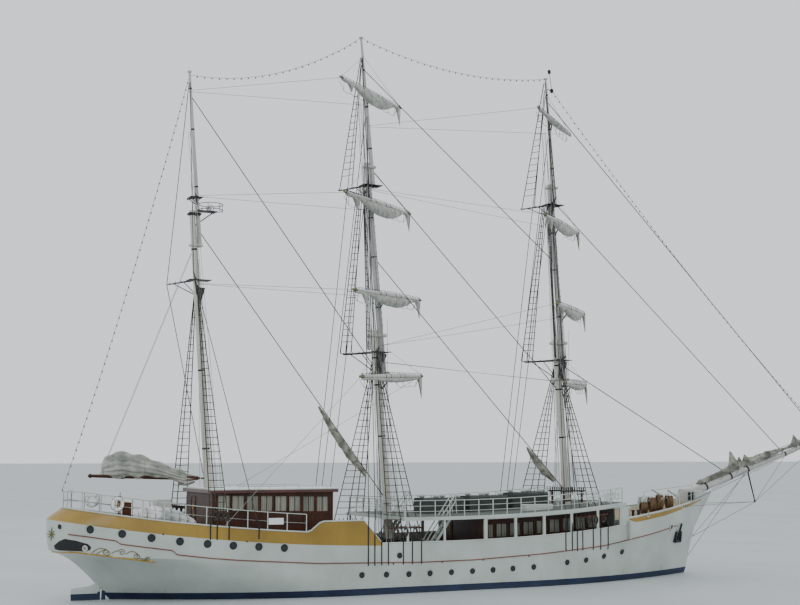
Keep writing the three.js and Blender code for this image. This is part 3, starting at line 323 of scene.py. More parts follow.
def cover_canvas():
    """Grey-white waterproof cover over the rafts, creased where it is tied, greyer in its creases as
    painted shade.
    """
    coat = Coat("waterproof_cover_cloth", "sailcloth", 0.7)
    crease_and_painted_shade, colour = coat.blotches(2.6, [(0.35, "#A9ADAC"), (0.6, "#E9EAE6")])
    return coat.done(colour, (crease_and_painted_shade, 0.5, 0.02))


# Headsail cloth: weathered dark olive, its dark folds and pale crests partly painted shade and highlight;
# the square sails' cloth is greyed in its folds as painted shade.
headsail_cloth = sail_canvas("weathered_headsail_cloth_with_painted_fold_shade", "#4C4E44", "#7C7E72", "#ACADA1")
sailcloth = sail_canvas("furled_sailcloth", "#7B7E76", "#9C9E95", "#BFC0B6")
teak_planking = deck_teak()
blue_bottom = bottom_paint()
window_glass = dark_glass()
house_glass = curtained_glass()
bulb_glass = lamp_glass()
cover_cloth = cover_canvas()


# shapes, in ship metres, each as (points, faces)
def chamfered(x0, x1, y0, y1, z0, z1, chamfer=0.012):
    """A block with its edges taken off."""
    cut = min(chamfer, (x1 - x0) * 0.3, abs(y1 - y0) * 0.3, (z1 - z0) * 0.3)
    low, high = (x0, min(y0, y1), z0), (x1, max(y0, y1), z1)
    points = []
    for corner in range(8):
        bits = [(corner >> axis) & 1 for axis in range(3)]
        for face in range(3):
            points.append([(high[a] if bits[a] else low[a]) + (0 if a == face
                    else (-cut if bits[a] else cut))
                           for a in range(3)])
    faces = [(3 * k, 3 * k + 1, 3 * k + 2) for k in range(8)]
    for a in range(3):
        b, c = (a + 1) % 3, (a + 2) % 3
        for side in (0, 1):
            loop = [(side << a) | (i << b) | (j << c) for i, j in ((0, 0), (1, 0), (1, 1), (0, 1))]
            faces.append(tuple(3 * k + a for k in loop))
        for i, j in ((0, 0), (1, 0), (0, 1), (1, 1)):
            first, last = (i << b) | (j << c), (1 << a) | (i << b) | (j << c)
            faces.append((3 * first + b, 3 * last + b, 3 * last + c, 3 * first + c))
    return np.array(points, float), faces


def swept(loops, endless=False):
    """A closed body through loops of as many points each, capped at both ends or joined end to start."""
    count, steps = len(loops[0]), len(loops)
    points = np.array([tuple(p) for loop in loops for p in loop], float)
    faces = []
    for k in range(steps if endless else steps - 1):
        here, there = k * count, (k + 1) % steps * count
        for i in range(count):
            j = (i + 1) % count
            faces.append((here + i, here + j, there + j, there + i))
    if not endless:
        last = (steps - 1) * count
        faces += [tuple(range(count - 1, -1, -1)), tuple(range(last, last + count))]
    return points, faces


def frame_along(direction):
    """Two unit vectors across a direction, the second as near upright as can be."""
    along = Vector(direction).normalized()
    guide = Vector((0, 0, 1)) if abs(along.z) < 0.95 else Vector((1, 0, 0))
    across = guide.cross(along).normalized()
    return across, along.cross(across)


def circle(count):
    return [TURN * i / count for i in range(count)]


def turned(profile, start, end, sides=12):
    """A turned shape from start to end; profile is (share of the way, radius), closed at both ends."""
    start, end = Vector(start), Vector(end)
    across, up = frame_along(end - start)
    return swept([[start.lerp(end, share) + across * (radius * math.cos(a)) + up * (radius * math.sin(a))
                   for a in circle(sides)] for share, radius in profile])


def ring(centre, axis, radius, thick, around=20, section=6, squash=1.0):
    """A ring whose hole faces along axis; squash stretches it upwards."""
    across, up = frame_along(axis)
    out = Vector(axis).normalized()
    loops = []
    for a in circle(around):
        spoke = across * math.cos(a) + up * math.sin(a) * squash
        loops.append([Vector(centre) + spoke * (radius + thick * math.cos(b)) + out * (thick * math.sin(b))
                      for b in circle(section)])
    return swept(loops, endless=True)


def cut_out(outline, aside):
    """A flat plate: an outline of points, laid aside to both sides of itself."""
    count = len(outline)
    points = [tuple(np.add(p, np.multiply(way, aside))) for way in (-1, 1) for p in outline]
    return np.array(points), [tuple(range(count)), tuple(range(2 * count - 1, count - 1, -1))] + [
        (i, i + count, (i + 1) % count + count, (i + 1) % count) for i in range(count)]


def moved(shape, matrix):
    points, faces = shape
    return np.array([tuple(matrix @ Vector(p)) for p in points]), faces


class Parts:
    """Shapes gathered into one piece, each with a material index."""

    def __init__(self):
        self.points, self.faces, self.index = [], [], []

    def add(self, shape, index=0):
        points, faces = shape
        base = len(self.points)
        self.points.extend(tuple(p) for p in points)
        self.faces.extend(tuple(base + i for i in face) for face in faces)
        self.index.extend([index] * len(faces))
        return self

    def block(self, *box, index=0):
        return self.add(chamfered(*box), index)

    def turn(self, profile, start, end, sides=12, index=0):
        return self.add(turned(profile, start, end, sides), index)

    def rod(self, radius, start, end, sides=12, tip=None, index=0):
        return self.turn([(0, radius), (1, radius if tip is None else tip)], start, end, sides, index)

    def hoop(self, *sizes, index=0):
        return self.add(ring(*sizes), index)


def cloth_body(sections, around, swell):
    """A body through (centre, across, up, half width, half depth), swelled by (angle, length so far)."""
    loops, length = [], 0.0
    for k, (centre, across, up, wide, deep) in enumerate(sections):
        if k:
            length += (centre - sections[k - 1][0]).length
        loop = []
        for a in circle(around):
            size = swell(a, length)
            loop.append(centre + across * (wide * size * math.cos(a)) + up * (deep * size * math.sin(a)))
        loops.append(loop)
    return swept(loops)


def bundle(sections, wrinkle, seed, around=22):
    """Furled cloth with folds pressed in at random."""
    chance = random.Random(seed)
    phases = [chance.uniform(0, 6.28) for _ in range(6)]

    def swell(a, length):
        fold = (math.sin(5 * a + phases[0] + 1.3 * math.sin(length * 1.7 + phases[1]))
                + 0.7 * math.sin(9 * a - 2.1 * length + phases[2])
                + 0.9 * math.sin(length * 7.5 + 1.5 * math.sin(3 * a + phases[3]) + phases[4])
                + 0.5 * math.sin(length * 13.0 + phases[5] + a))
        return 1 + wrinkle * fold / 2.2

    return cloth_body(sections, around, swell)


def pleated(sections, lobes, depth, seed):
    """Cloth gathered along a spar: folds that run with it and drift slowly round it."""
    chance = random.Random(seed)
    drift = [chance.uniform(0, 6.28) for _ in range(4)]

    def swell(a, length):
        turn = 0.9 * math.sin(0.7 * length + drift[0]) + 0.25 * math.sin(2.9 * length + drift[1])
        fold = (abs(math.sin(lobes * a / 2 + turn)) - 0.6
                + 0.35 * math.sin(5.2 * length + 3 * math.sin(a + drift[2])))
        return 1 + depth * fold

    return cloth_body(sections, 64, swell)


def tied(sections, spacing, grow=1.05, around=14):
    """Rope turns round a bundle at even steps."""
    loops, last, length = [], spacing * 0.5, 0.0
    for k in range(1, len(sections) - 1):
        length += (sections[k][0] - sections[k - 1][0]).length
        if length >= last:
            last += spacing
            centre, across, up, wide, deep = sections[k]
            loop = [centre + across * (wide * grow * math.cos(a)) + up * (deep * grow * math.sin(a))
                    for a in circle(around)]
            loops.append(loop + [loop[0]])
    return loops


# pieces
def mesh_of(name, points, edges, faces):
    mesh = bpy.data.meshes.new(name)
    mesh.from_pydata([tuple(float(c) * SCALE for c in p) for p in points], edges, faces)
    return mesh


def object_of(name, mesh):
    obj = bpy.data.objects.new(name, mesh)
    bpy.context.collection.objects.link(obj)
    return obj


def faced_out(mesh, weld=False):
    """Turns the faces outwards, with points that lie together made one."""
    work = bmesh.new()
    work.from_mesh(mesh)
    if weld:
        bmesh.ops.remove_doubles(work, verts=work.verts, dist=0.00005)
        bmesh.ops.dissolve_degenerate(work, edges=work.edges, dist=0.00002)
    if weld != "open":
        bmesh.ops.recalc_face_normals(work, faces=work.faces)
    work.to_mesh(mesh)
    work.free()


def settled(obj, edge, body, replaces):
    """Smooth up to an edge of so many degrees, riding on its body and what it replaces."""
    obj.data.polygons.foreach_set("use_smooth", np.ones(len(obj.data.polygons), bool))
    obj.data.set_sharp_from_angle(angle=math.radians(edge))
    if body:
        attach(obj, body)
    if replaces:
        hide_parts(*replaces)
    return obj


def made(name, shape, materials, body=SHIP, closed=True, edge=32, replaces=()):
    """A piece from a shape or gathered parts, with its materials."""
    if not isinstance(shape, Parts):
        shape = Parts().add(shape)
    if not isinstance(materials, list):
        materials = [materials]
    mesh = mesh_of(name, shape.points, [], shape.faces)
    for each in materials:
        mesh.materials.append(each)
    mesh.polygons.foreach_set("material_index", np.array(shape.index, np.int32))
    faced_out(mesh, True if closed else "open")
    return settled(object_of(name, mesh), edge, body, replaces)


# node trees that repeat shapes or follow a path
def tree_of(name, **sockets):
    tree = bpy.data.node_groups.new(name, "GeometryNodeTree")
    for way in ("INPUT", "OUTPUT"):
        tree.interface.new_socket(name="Geometry", in_out=way, socket_type="NodeSocketGeometry")
    for label, kind in sockets.items():
        tree.interface.new_socket(name=label.replace("_", " "), in_out="INPUT",
                                  socket_type="NodeSocket" + kind)
    return tree, tree.nodes.new("NodeGroupInput").outputs


def grow(tree, kind, inputs, **settings):
    """The first output of a new geometry node."""
    return add(tree, "GeometryNode" + kind, inputs, **settings).outputs[0]


def product(tree, a, b):
    return add(tree, "ShaderNodeMath", {0: a, 1: b}, operation="MULTIPLY").outputs[0]


def upwards(tree, height):
    return add(tree, "ShaderNodeCombineXYZ", {"Z": height}).outputs[0]


def path_and_feet(tree, given):
    """The lines of the mesh as curves, and points on them at even steps."""
    path = grow(tree, "MeshToCurve", {"Mesh": given["Geometry"]})
    return path, grow(tree, "ResampleCurve", {"Curve": path, "Length": given["Spacing"]}, mode="LENGTH")


def tube_along(tree, path, radius, sides):
    section = grow(tree, "CurvePrimitiveCircle", {"Resolution": sides, "Radius": radius})
    return grow(tree, "CurveToMesh", {"Curve": path, "Profile Curve": section, "Fill Caps": True})


def ended(tree, geometry):
    tree.links.new(geometry, tree.nodes.new("NodeGroupOutput").inputs[0])
    return tree


def coated(tree, geometry, coating):
    real = grow(tree, "RealizeInstances", {"Geometry": geometry})
    return ended(tree, grow(tree, "SetMaterial", {"Geometry": real, "Material": coating}))


def wires_tree():
    """Round wire along every line of the mesh."""
    tree, given = tree_of("wire_along_lines", Radius="Float", Sides="Int", Coating="Material")
    lines = grow(tree, "MeshToCurve", {"Mesh": given["Geometry"]})
    return coated(tree, tube_along(tree, lines, given["Radius"], given["Sides"]), given["Coating"])


def rail_tree():
    """Posts at even steps along a path, a top rail and two middle rails."""
    tree, given = tree_of("posts_and_rails", Spacing="Float", Height="Float", Post_Radius="Float",
                          Rail_Radius="Float",
                          Middle_Height="Float", Lower_Height="Float", Coating="Material")
    path, feet = path_and_feet(tree, given)
    post = grow(tree, "MeshCylinder", {"Vertices": 8, "Radius": given["Post Radius"],
                                       "Depth": given["Height"]})
    rise = upwards(tree, product(tree, given["Height"], 0.5))
    lifted = grow(tree, "Transform", {"Geometry": post, "Translation": rise})
    joined = tree.nodes.new("GeometryNodeJoinGeometry")
    tree.links.new(grow(tree, "InstanceOnPoints", {"Points": feet, "Instance": lifted}), joined.inputs[0])
    for label, share in (("Height", 1.0), ("Middle Height", 0.7), ("Lower Height", 0.7)):
        line = grow(tree, "SetPosition", {"Geometry": path, "Offset": upwards(tree, given[label])})
        rail = tube_along(tree, line, product(tree, given["Rail Radius"], share), 8)
        tree.links.new(rail, joined.inputs[0])
    return coated(tree, joined.outputs[0], given["Coating"])


def copies_tree():
    """The same small shape on every point, its Z axis along the point's facing attribute."""
    tree, given = tree_of("copies_on_points", Shape="Object", Coating="Material")
    facing = grow(tree, "InputNamedAttribute", {"Name": "facing"}, data_type="FLOAT_VECTOR")
    turn = add(tree, "FunctionNodeAlignRotationToVector", {"Vector": facing}, axis="Z").outputs[0]
    shape = add(tree, "GeometryNodeObjectInfo", {"Object": given["Shape"]}).outputs["Geometry"]
    copied = grow(tree, "InstanceOnPoints", {"Points": given["Geometry"], "Instance": shape,
                                             "Rotation": turn})
    return coated(tree, copied, given["Coating"])


def lamps_tree():
    """Small round lamps hung at even steps below a line."""
    tree, given = tree_of("lamps_along_lines", Spacing="Float", Radius="Float", Drop="Float",
                          Coating="Material")
    _, points = path_and_feet(tree, given)
    hang = upwards(tree, product(tree, given["Drop"], -1.0))
    lamp = grow(tree, "MeshIcoSphere", {"Radius": given["Radius"], "Subdivisions": 2})
    placed = grow(tree, "Transform", {"Geometry": lamp, "Translation": hang, "Scale": (1.0, 1.0, 1.35)})
    return coated(tree, grow(tree, "InstanceOnPoints", {"Points": points, "Instance": placed}),
                  given["Coating"])


def shading_tree():
    """Welds a frame node's loose triangles for shading only, with its corners kept sharp."""
    tree, given = tree_of("smooth_to_corners", Corner="Float")
    tree.interface.items_tree["Corner"].default_value = math.radians(35)
    welded = grow(tree, "MergeByDistance", {"Geometry": given["Geometry"], "Distance": 0.0002})
    smooth = grow(tree, "SetShadeSmooth", {"Geometry": welded, "Shade Smooth": True}, domain="FACE")
    angle = tree.nodes.new("GeometryNodeInputMeshEdgeAngle").outputs[0]
    sharp = add(tree, "FunctionNodeCompare", {0: angle, 1: given["Corner"]},
                operation="GREATER_THAN").outputs[0]
    return ended(tree, grow(tree, "SetShadeSmooth", {"Geometry": smooth, "Selection": sharp,
                                                     "Shade Smooth": False},
                            domain="EDGE"))


WIRES, RAILS, COPIES, LAMPS, SHADED = wires_tree(), rail_tree(), copies_tree(), lamps_tree(), shading_tree()


def grown(name, lines, tree, sizes, coating, body=SHIP, facing=None, shape=None, replaces=()):
    """Bakes a node tree over lines or points of the ship; sizes are ship metres."""
    points, edges = [], []
    for line in lines:
        edges += [(len(points) + i, len(points) + i + 1) for i in range(len(line) - 1)]
        points += list(line)
    source = mesh_of(name, points, edges, [])
    if facing is not None:
        held = source.attributes.new("facing", "FLOAT_VECTOR", "POINT")
        held.data.foreach_set("vector", np.array(facing, np.float32).ravel())
    obj = object_of(name, source)
    build = obj.modifiers.new("build", "NODES")
    build.node_group = tree
    inputs = {item.name: item.identifier for item in tree.interface.items_tree if item.in_out == "INPUT"}
    for label, value in sizes.items():
        build[inputs[label]] = value if isinstance(value, int) else value * SCALE
    build[inputs["Coating"]] = coating
    if shape is not None:
        build[inputs["Shape"]] = shape
    result = bpy.data.meshes.new_from_object(obj.evaluated_get(bpy.context.evaluated_depsgraph_get()))
    obj.modifiers.remove(build)
    obj.data = result
    result.name = name
    return settled(obj, 50, body, replaces)


def wires(name, lines, radius, coating, body=SHIP, sides=6):
    return grown(name, lines, WIRES, {"Radius": radius, "Sides": sides}, coating, body)


def copies(name, spots, facing, shape, coating):
    """Copies of a shape, made lying on the origin and facing +Z, on each spot."""
    points, faces = shape
    mesh = mesh_of(name + "_shape", points, [], faces)
    faced_out(mesh)
    holder = bpy.data.objects.new(name + "_shape", mesh)
    grown(name, [[p] for p in spots], COPIES, {}, coating, facing=facing, shape=holder)
    bpy.data.objects.remove(holder)


def dress(node, coating):
    """Gives a frame node its finish and smooth shading."""
    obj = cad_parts[node]
    if not obj.material_slots:
        obj.data.materials.append(coating)
    for held in obj.material_slots:
        held.link = "OBJECT"
        held.material = coating
    obj.modifiers.new("shading", "NODES").node_group = SHADED


# hull form, from the same rows as the frame
def sheer(x):
    return 0.00227 * (x + 1) ** 2.2 if x > -1 else 0.00764 * max(0.0, -x - 3) ** 1.82


LEVELS = [
    # z, sheer_aft, sheer_fore, x_aft, x_fore, half, then from, power and root of the run and of the entry
    (-3.05, 0.0, 0.0, -18.6, 16.2, 0.2, -14.0, 3.0, 0.9, 12.0, 3.0, 0.9),
    (-2.8, 0.0, 0.0, -18.6, 17.2, 2.2, -1.0, 1.25, 1.6, 3.0, 1.3, 1.5),
    (-2.25, 0.0, 0.0, -18.6, 18.3, 3.45, -1.5, 1.35, 1.5, 3.5, 1.45, 1.35),
    (-1.4, 0.0, 0.0, -18.6, 19.4, 4.08, -2.5, 1.5, 1.35, 4.0, 1.65, 1.2),
    (-0.5, 0.0, 0.0, -18.75, 20.2, 4.32, -4.0, 1.75, 1.15, 4.5, 1.85, 1.08),
    (0.2, 0.0, 0.0, -19.4, 20.75, 4.38, -6.0, 1.9, 1.0, 5.0, 2.0, 1.0),
    (0.9, 0.35, 0.35, -20.5, 21.15, 4.4, -8.0, 2.1, 0.85, 5.5, 2.1, 0.96),
    (1.4, 0.6, 0.7, -21.6, 21.6, 4.4, -9.0, 2.35, 0.72, 5.8, 2.2, 0.92),
    (1.77, 0.62, 1.0, -22.72, 22.1, 4.4, -10.0, 2.6, 0.62, 6.0, 2.3, 0.9),
    (2.82, 1.0, 0.85, -22.85, 22.45, 4.4, -10.0, 2.6, 0.62, 6.0, 2.3, 0.9),
    (3.47, 1.0, 0.79, -22.05, 22.75, 4.4, -10.0, 2.6, 0.6, 6.0, 2.3, 0.9),
    (4.7, 1.0, 0.79, -21.3, 23.05, 4.4, -10.0, 2.6, 0.6, 6.0, 2.3, 0.9),
]
KNUCKLE = 8  # the level where the counter's underside meets the topsides
RUN_START, ENTRY_START = -16.0, 13.5
PLATE = 0.1


def level_point(level, station, inset):
    """(x, half breadth, z) of a level at a station: ("aft"|"fore", share of the end) or ("mid", x)."""
    z, sheer_aft, sheer_fore, x_aft, x_fore, half = level[:6]
    run_from, run_power, run_root, entry_from, entry_power, entry_root = level[6:]
    x_aft, x_fore, half = x_aft + inset, x_fore - inset, half - inset
    part, value = station
    if part == "mid":
        x = value
    else:
        start, end = (RUN_START, x_aft) if part == "aft" else (ENTRY_START, x_fore)
        x = start + (end - start) * math.sin(QUARTER * value)
    y = half
    if x < run_from:
        y *= max(0.0, 1 - ((run_from - x) / (run_from - x_aft)) ** run_power) ** run_root
    if x > entry_from:
        y *= max(0.0, 1 - ((x - entry_from) / (x_fore - entry_from)) ** entry_power) ** entry_root
    if part != "mid" and value >= 1:
        y = 0.0
    return x, y, z + (sheer_fore if x > -1 else sheer_aft) * sheer(x)


def column(station, inset=0.0, steps=6):
    """The skin's section at a station, from keel to above the rails, smooth below the knuckle."""
    rows = np.array([level_point(level, station, inset) for level in LEVELS])
    dense = []
    for k in range(len(rows) - 1):
        before, after = rows[max(0, k - 1)], rows[min(KNUCKLE, k + 2)]
        for i in range(steps):
            t = i / steps
            if k < KNUCKLE:
                p = 0.5 * (2 * rows[k] + (rows[k + 1] - before) * t
                           + (2 * before - 5 * rows[k] + 4 * rows[k + 1] - after) * t ** 2
                           + (3 * rows[k] - before - 3 * rows[k + 1] + after) * t ** 3)
            else:
                p = rows[k] * (1 - t) + rows[k + 1] * t
            dense.append((p[0], max(0.0, p[1]), p[2]))
    dense.append(tuple(rows[-1]))
    return np.array(dense)


def crossing(section, line):
    """Where a section meets a line of the sheer plan, as a fractional row."""
    for k in range(len(section) - 1):
        low, high = section[k][2] - line(section[k][0]), section[k + 1][2] - line(section[k + 1][0])
        if high >= 0:
            return k + max(0.0, min(1.0, -low / (high - low) if high > low else 0))
    return len(section) - 1.0


def at_row(section, row):
    k = min(int(row), len(section) - 2)
    return section[k] + (section[k + 1] - section[k]) * (row - k)


def rows_between(section, first, last, count):
    """count + 1 points of a section from one row to another, evenly along it."""
    knots = [first] + [k for k in range(int(first) + 1, int(math.ceil(last))) if first < k < last] + [last]
    points = [at_row(section, k) for k in knots]
    lengths = np.concatenate([[0], np.cumsum([np.linalg.norm(b - a) for a, b in zip(points, points[1:])])])
    wanted = np.linspace(0, lengths[-1], count + 1)
    columns = [np.interp(wanted, lengths, [p[axis] for p in points]) for axis in range(3)]
    return np.array(columns).T


STATIONS = ([("aft", s) for s in np.linspace(1, 0, 31)[:-1]]
            + [("mid", float(x)) for x in sorted(
                set(np.round(np.arange(RUN_START, ENTRY_START + 0.01, 0.5), 3)) | {-8.75, -8.25, -4.36})]
            + [("fore", s) for s in np.linspace(0, 1, 31)[1:]])


def form_tree():
    """The whole outer form for placing what lies against the skin."""
    points, faces = [], []
    for side in (-1, 1):
        base = len(points)
        for station in STATIONS:
            points += [(x, side * y, z) for x, y, z in column(station, steps=4)]
        rows = 4 * (len(LEVELS) - 1) + 1
        for i in range(len(STATIONS) - 1):
            for k in range(rows - 1):
                a = base + i * rows + k
                quad = (a, a + 1, a + rows + 1, a + rows)
                faces.append(quad if side > 0 else quad[::-1])
    return BVHTree.FromPolygons(points, faces)


FORM = form_tree()


def on_skin(x, z, side, out=0.0):
    """The skin's point at x and z, moved out from it, and the way it faces."""
    hit, normal, _, _ = FORM.ray_cast(Vector((x, side * 12, z)), Vector((0, -side, 0)))
    if hit is None:
        hit, normal, _, _ = FORM.find_nearest(Vector((x, side * 0.3, z)))
    if normal.y * side < 0:
        normal = -normal
    return hit + normal * out, normal


# lines of the sheer plan, height against x
def deck_line(x): return 1.85 + (1.0 if x > -1 else 0.62) * sheer(x)
def poop_deck(x): return 2.95 + sheer(x)
def waist_cap(x): return 2.92 + 0.85 * sheer(x)
def fore_deck(x): return 3.2 + 0.79 * sheer(x)
def bow_cap(x): return 3.36 + 0.79 * sheer(x)
def shelter_deck(x): return 4.4 + 0.8 * sheer(x)
def shelter_under(x): return 4.2 + 0.8 * sheer(x)
def ochre_cap(x): return 3.48 + 1.02 * sheer(x)
def ochre_foot(x): return 2.8 + 0.985 * sheer(x)
def plating_top(x): return 2.6 + 0.85 * sheer(x)


def poop_wall_top(x):
    """The ochre bulwark's top: it rises in a curve at -9 m, runs level and slants down to the waist."""
    if x <= -9:
        return ochre_cap(x)
    if x < -8:
        share = (x + 9) ** 2 * (3 - 2 * (x + 9))
        return ochre_cap(-9) * (1 - share) + 4.26 * share
    if x < -5.5:
        return 4.26
    return 4.26 - (x + 5.5) / 1.14 * 1.28


# where the masts and the bowsprit stand
MAIN = {"name": "main", "x": -1.79, "z": 2.81, "rake": 0.09}
FORE = {"name": "fore", "x": 11.21, "z": 5.09, "rake": 0.07}
MIZZEN = {"name": "mizzen", "x": -13.42, "z": 4.28, "rake": 0.078}


def aloft(mast, z, ahead=0.0, y=0.0):
    return Vector((mast["x"] - mast["rake"] * (z - mast["z"]) + ahead, y, z))


def on_bowsprit(x, up=0.0, y=0.0):
    return Vector((x, y, 5.28 + (x - 20.9) / 13.15 * 4.19 + up))


def on_stem(z):
    """The stem's front edge at a height."""
    return FORM.ray_cast(Vector((30, 0.01, z)), Vector((-1, 0, 0)))[0]


# hull
def up_to(x_limit):
    return [s for s in STATIONS if s[0] == "aft" or (s[0] == "mid" and s[1] <= x_limit + 1e-6)]


def beyond(x_limit, x_end=99.0):
    return [s for s in STATIONS if (s[0] == "fore" and x_end > 50)
            or (s[0] == "mid" and x_limit - 1e-6 <= s[1] <= x_end + 1e-6)]


POOP_FRONT, WAIST_AFT, SHELTER_END = -5.0, -4.36, 13.5
RAISED = 0.39  # of the blue paint above the waterline


def skin_strip(parts, stations, lower, upper, count, index=0, inset=0.0):
    """Faces of both sides between two lines of the sheer plan; returns the port side's first point."""
    rows = count + 1
    for side in (-1, 1):
        base = len(parts.points)
        for station in stations:
            section = column(station, inset)
            first = 0.0 if lower is None else crossing(section, lower)
            run = rows_between(section, first, crossing(section, upper), count)
            parts.points.extend((x, side * y, z) for x, y, z in run)
        for i in range(len(stations) - 1):
            for k in range(count):
                a = base + i * rows + k
                quad = (a, a + 1, a + rows + 1, a + rows)
                parts.faces.append(quad if (side > 0) != (inset > 0) else quad[::-1])
                parts.index.append(index)
    return base


BLUE, WHITE, OCHRE = 0, 1, 2


def hull_plating():
    """The outer skin from the keel to the bulwark tops, blue, white and ochre."""
    skin = Parts()
    port = skin_strip(skin, STATIONS, None, lambda x: RAISED, 22, BLUE)
    rows, starboard = 23, port - 23 * len(STATIONS)
    for i in range(len(STATIONS) - 1):
        skin.faces.append((starboard + i * rows, port + i * rows, port + (i + 1) * rows,
                           starboard + (i + 1) * rows))
        skin.index.append(BLUE)
    for stations, lower, upper, count, index in (
            (STATIONS, lambda x: RAISED, plating_top, 12, WHITE),
            (up_to(WAIST_AFT), plating_top, ochre_foot, 2, WHITE),
            (up_to(WAIST_AFT), ochre_foot, poop_wall_top, 3, OCHRE),
            (beyond(WAIST_AFT, SHELTER_END), plating_top, waist_cap, 2, WHITE),
            (beyond(SHELTER_END), plating_top, bow_cap, 4, WHITE)):
        skin_strip(skin, stations, lower, upper, count, index)
    made("hull_plating", skin, [blue_bottom, white_enamel, ochre_enamel], closed=False,
         edge=25, replaces=("hull", "poop", "forecastle", "poop_bulwark_starboard", "poop_bulwark_port",
                   "shelter_side_starboard", "shelter_side_port"))


def bulwark_lining():
    """The inner faces of the bulwarks, from the decks to their caps."""
    lining = Parts()
    for stations, lower, upper in (
            (up_to(POOP_FRONT), poop_deck, poop_wall_top),
            (beyond(POOP_FRONT, WAIST_AFT), deck_line, poop_wall_top),
            (beyond(WAIST_AFT, SHELTER_END), deck_line, waist_cap),
            (beyond(SHELTER_END), fore_deck, bow_cap)):
        skin_strip(lining, stations, lower, upper, 3, inset=PLATE)
    made("bulwark_lining", lining, white_enamel, closed=False)


def bulwark_stays():
    """Flat brackets from the decks up the bulwarks' inner faces."""
    stays = Parts()
    for x0, x1, step, deck, cap in ((-20.5, -5.6, 1.25, poop_deck, ochre_cap),
                                    (-3.9, 12.6, 1.1, deck_line, waist_cap)):
        for x in np.arange(x0, x1, step):
            for side in (-1, 1):
                top, _ = on_skin(x, cap(x) - 0.06, side)
                y = abs(top.y) - PLATE
                foot, head = deck(x), cap(x) - 0.06
                outline = ((y, foot), (y - 0.32, foot), (y - 0.06, head), (y, head))
                stays.add(cut_out([(x, side * py, pz) for py, pz in outline], (0.012, 0, 0)))
    made("bulwark_stays", stays, white_enamel, edge=20)


def cap_rail(stations, line, height, overhang, round_end=False):
    """Sections of a rail laid over a bulwark's top edge; a round end goes on round the other side."""
    sections = []
    sides = (-1, 1) if round_end else (-1,)
    for side in sides:
        run = stations if side < 0 else stations[::-1]
        for station in (run[::-1] if round_end == "aft" else run):
            outer, inner = column(station), column(station, PLATE)
            a, b = at_row(outer, crossing(outer, line)), at_row(inner, crossing(inner, line))
            a, b = a * (1, side, 1), b * (1, side, 1)
            d = a - b
            d[2] = 0
            d = d / max(1e-6, np.linalg.norm(d)) * overhang
            a, b, rise = a + d, b - d, np.array([0, 0, height])
            sections.append([a, a + rise * 0.7, a - d * 0.3 + rise, b + d * 0.3 + rise, b + rise * 0.7, b])
    return swept(sections)


def bulwark_caps():
    """The rails along the tops of the poop, waist and bow bulwarks."""
    caps = Parts()
    caps.add(cap_rail(up_to(WAIST_AFT), poop_wall_top, 0.07, 0.035, "aft"))
    waist = cap_rail(beyond(WAIST_AFT, SHELTER_END), waist_cap, 0.06, 0.03)
    caps.add(waist)
    caps.add(moved(waist, Matrix.Scale(-1, 4, Vector((0, 1, 0)))))
    caps.add(cap_rail(beyond(SHELTER_END), bow_cap, 0.07, 0.035, "fore"))
    made("bulwark_cap_rails", caps, white_enamel)


PILLARS = [2.62, 4.7, 6.75, 8.8, 10.87, 12.8]
PILLAR_WIDTH = 0.17


def in_opening(x, slack=0.0):
    half = PILLAR_WIDTH / 2 - slack
    return any(a + half < x < b - half for a, b in zip(PILLARS, PILLARS[1:]))


def shelter_pillars():
    """The pierced side of the shelter deck: pillars with round-cornered openings between them."""
    corner = 0.11
    columns = [(2.49, 0.0)]
    for left, right in zip(PILLARS, PILLARS[1:]):
        a, b = left + PILLAR_WIDTH / 2, right - PILLAR_WIDTH / 2
        arc = [corner * (1 - math.cos(t)) for t in np.linspace(0, QUARTER, 6)]
        drop = [corner * (1 - math.sin(t)) for t in np.linspace(0, QUARTER, 6)]
        columns += [(a + p, q) for p, q in zip(arc, drop)]
        columns += [(x, 0.0) for x in np.linspace(a + corner, b - corner, 5)[1:-1]]
        columns += [(b - p, q) for p, q in zip(arc, drop)][::-1]
    columns += [(float(x), 0.0) for x in np.linspace(12.95, SHELTER_END, 8)]
    wall = Parts()
    for side in (-1, 1):
        grid = {}
        for i, (x, drop) in enumerate(columns):
            held = drop if in_opening(x, 1e-6) else corner
            low, high = waist_cap(x) + 0.02 + held, shelter_under(x) - 0.03 - held
            beyond_end = max(0.0, (x - 12.98) / 0.52)
            rounded = 0.42 * (1 - math.sqrt(max(0.0, 1 - beyond_end ** 2)))
            rows = [waist_cap(x), low, min(high, shelter_under(x) - rounded - 0.05),
                    shelter_under(x) - rounded]
            for layer, inset in enumerate((0.0, PLATE)):
                for k, z in enumerate(rows):
                    point, _ = on_skin(x, z, side)
                    grid[i, k, layer] = len(wall.points)
                    wall.points.append((point.x, point.y - side * inset, point.z))
        middles = [(a[0] + b[0]) / 2 for a, b in zip(columns, columns[1:])]
        present = {(i, k) for i, x in enumerate(middles) for k in range(3)
                   if not (k == 1 and in_opening(x))}
        for i, k in present:
            ring_of = [(i, k), (i, k + 1), (i + 1, k + 1), (i + 1, k)]
            for layer in (0, 1):
                wall.faces.append(tuple(grid[p, q, layer] for p, q in ring_of))
            neighbours = [(i - 1, k), (i, k + 1), (i + 1, k), (i, k - 1)]
            for (p, q), (r, s), beside in zip(ring_of, ring_of[1:] + ring_of[:1], neighbours):
                if beside not in present:
                    wall.faces.append((grid[p, q, 0], grid[r, s, 0], grid[r, s, 1], grid[p, q, 1]))
    wall.index = [0] * len(wall.faces)
    made("shelter_pillars", wall, white_enamel)


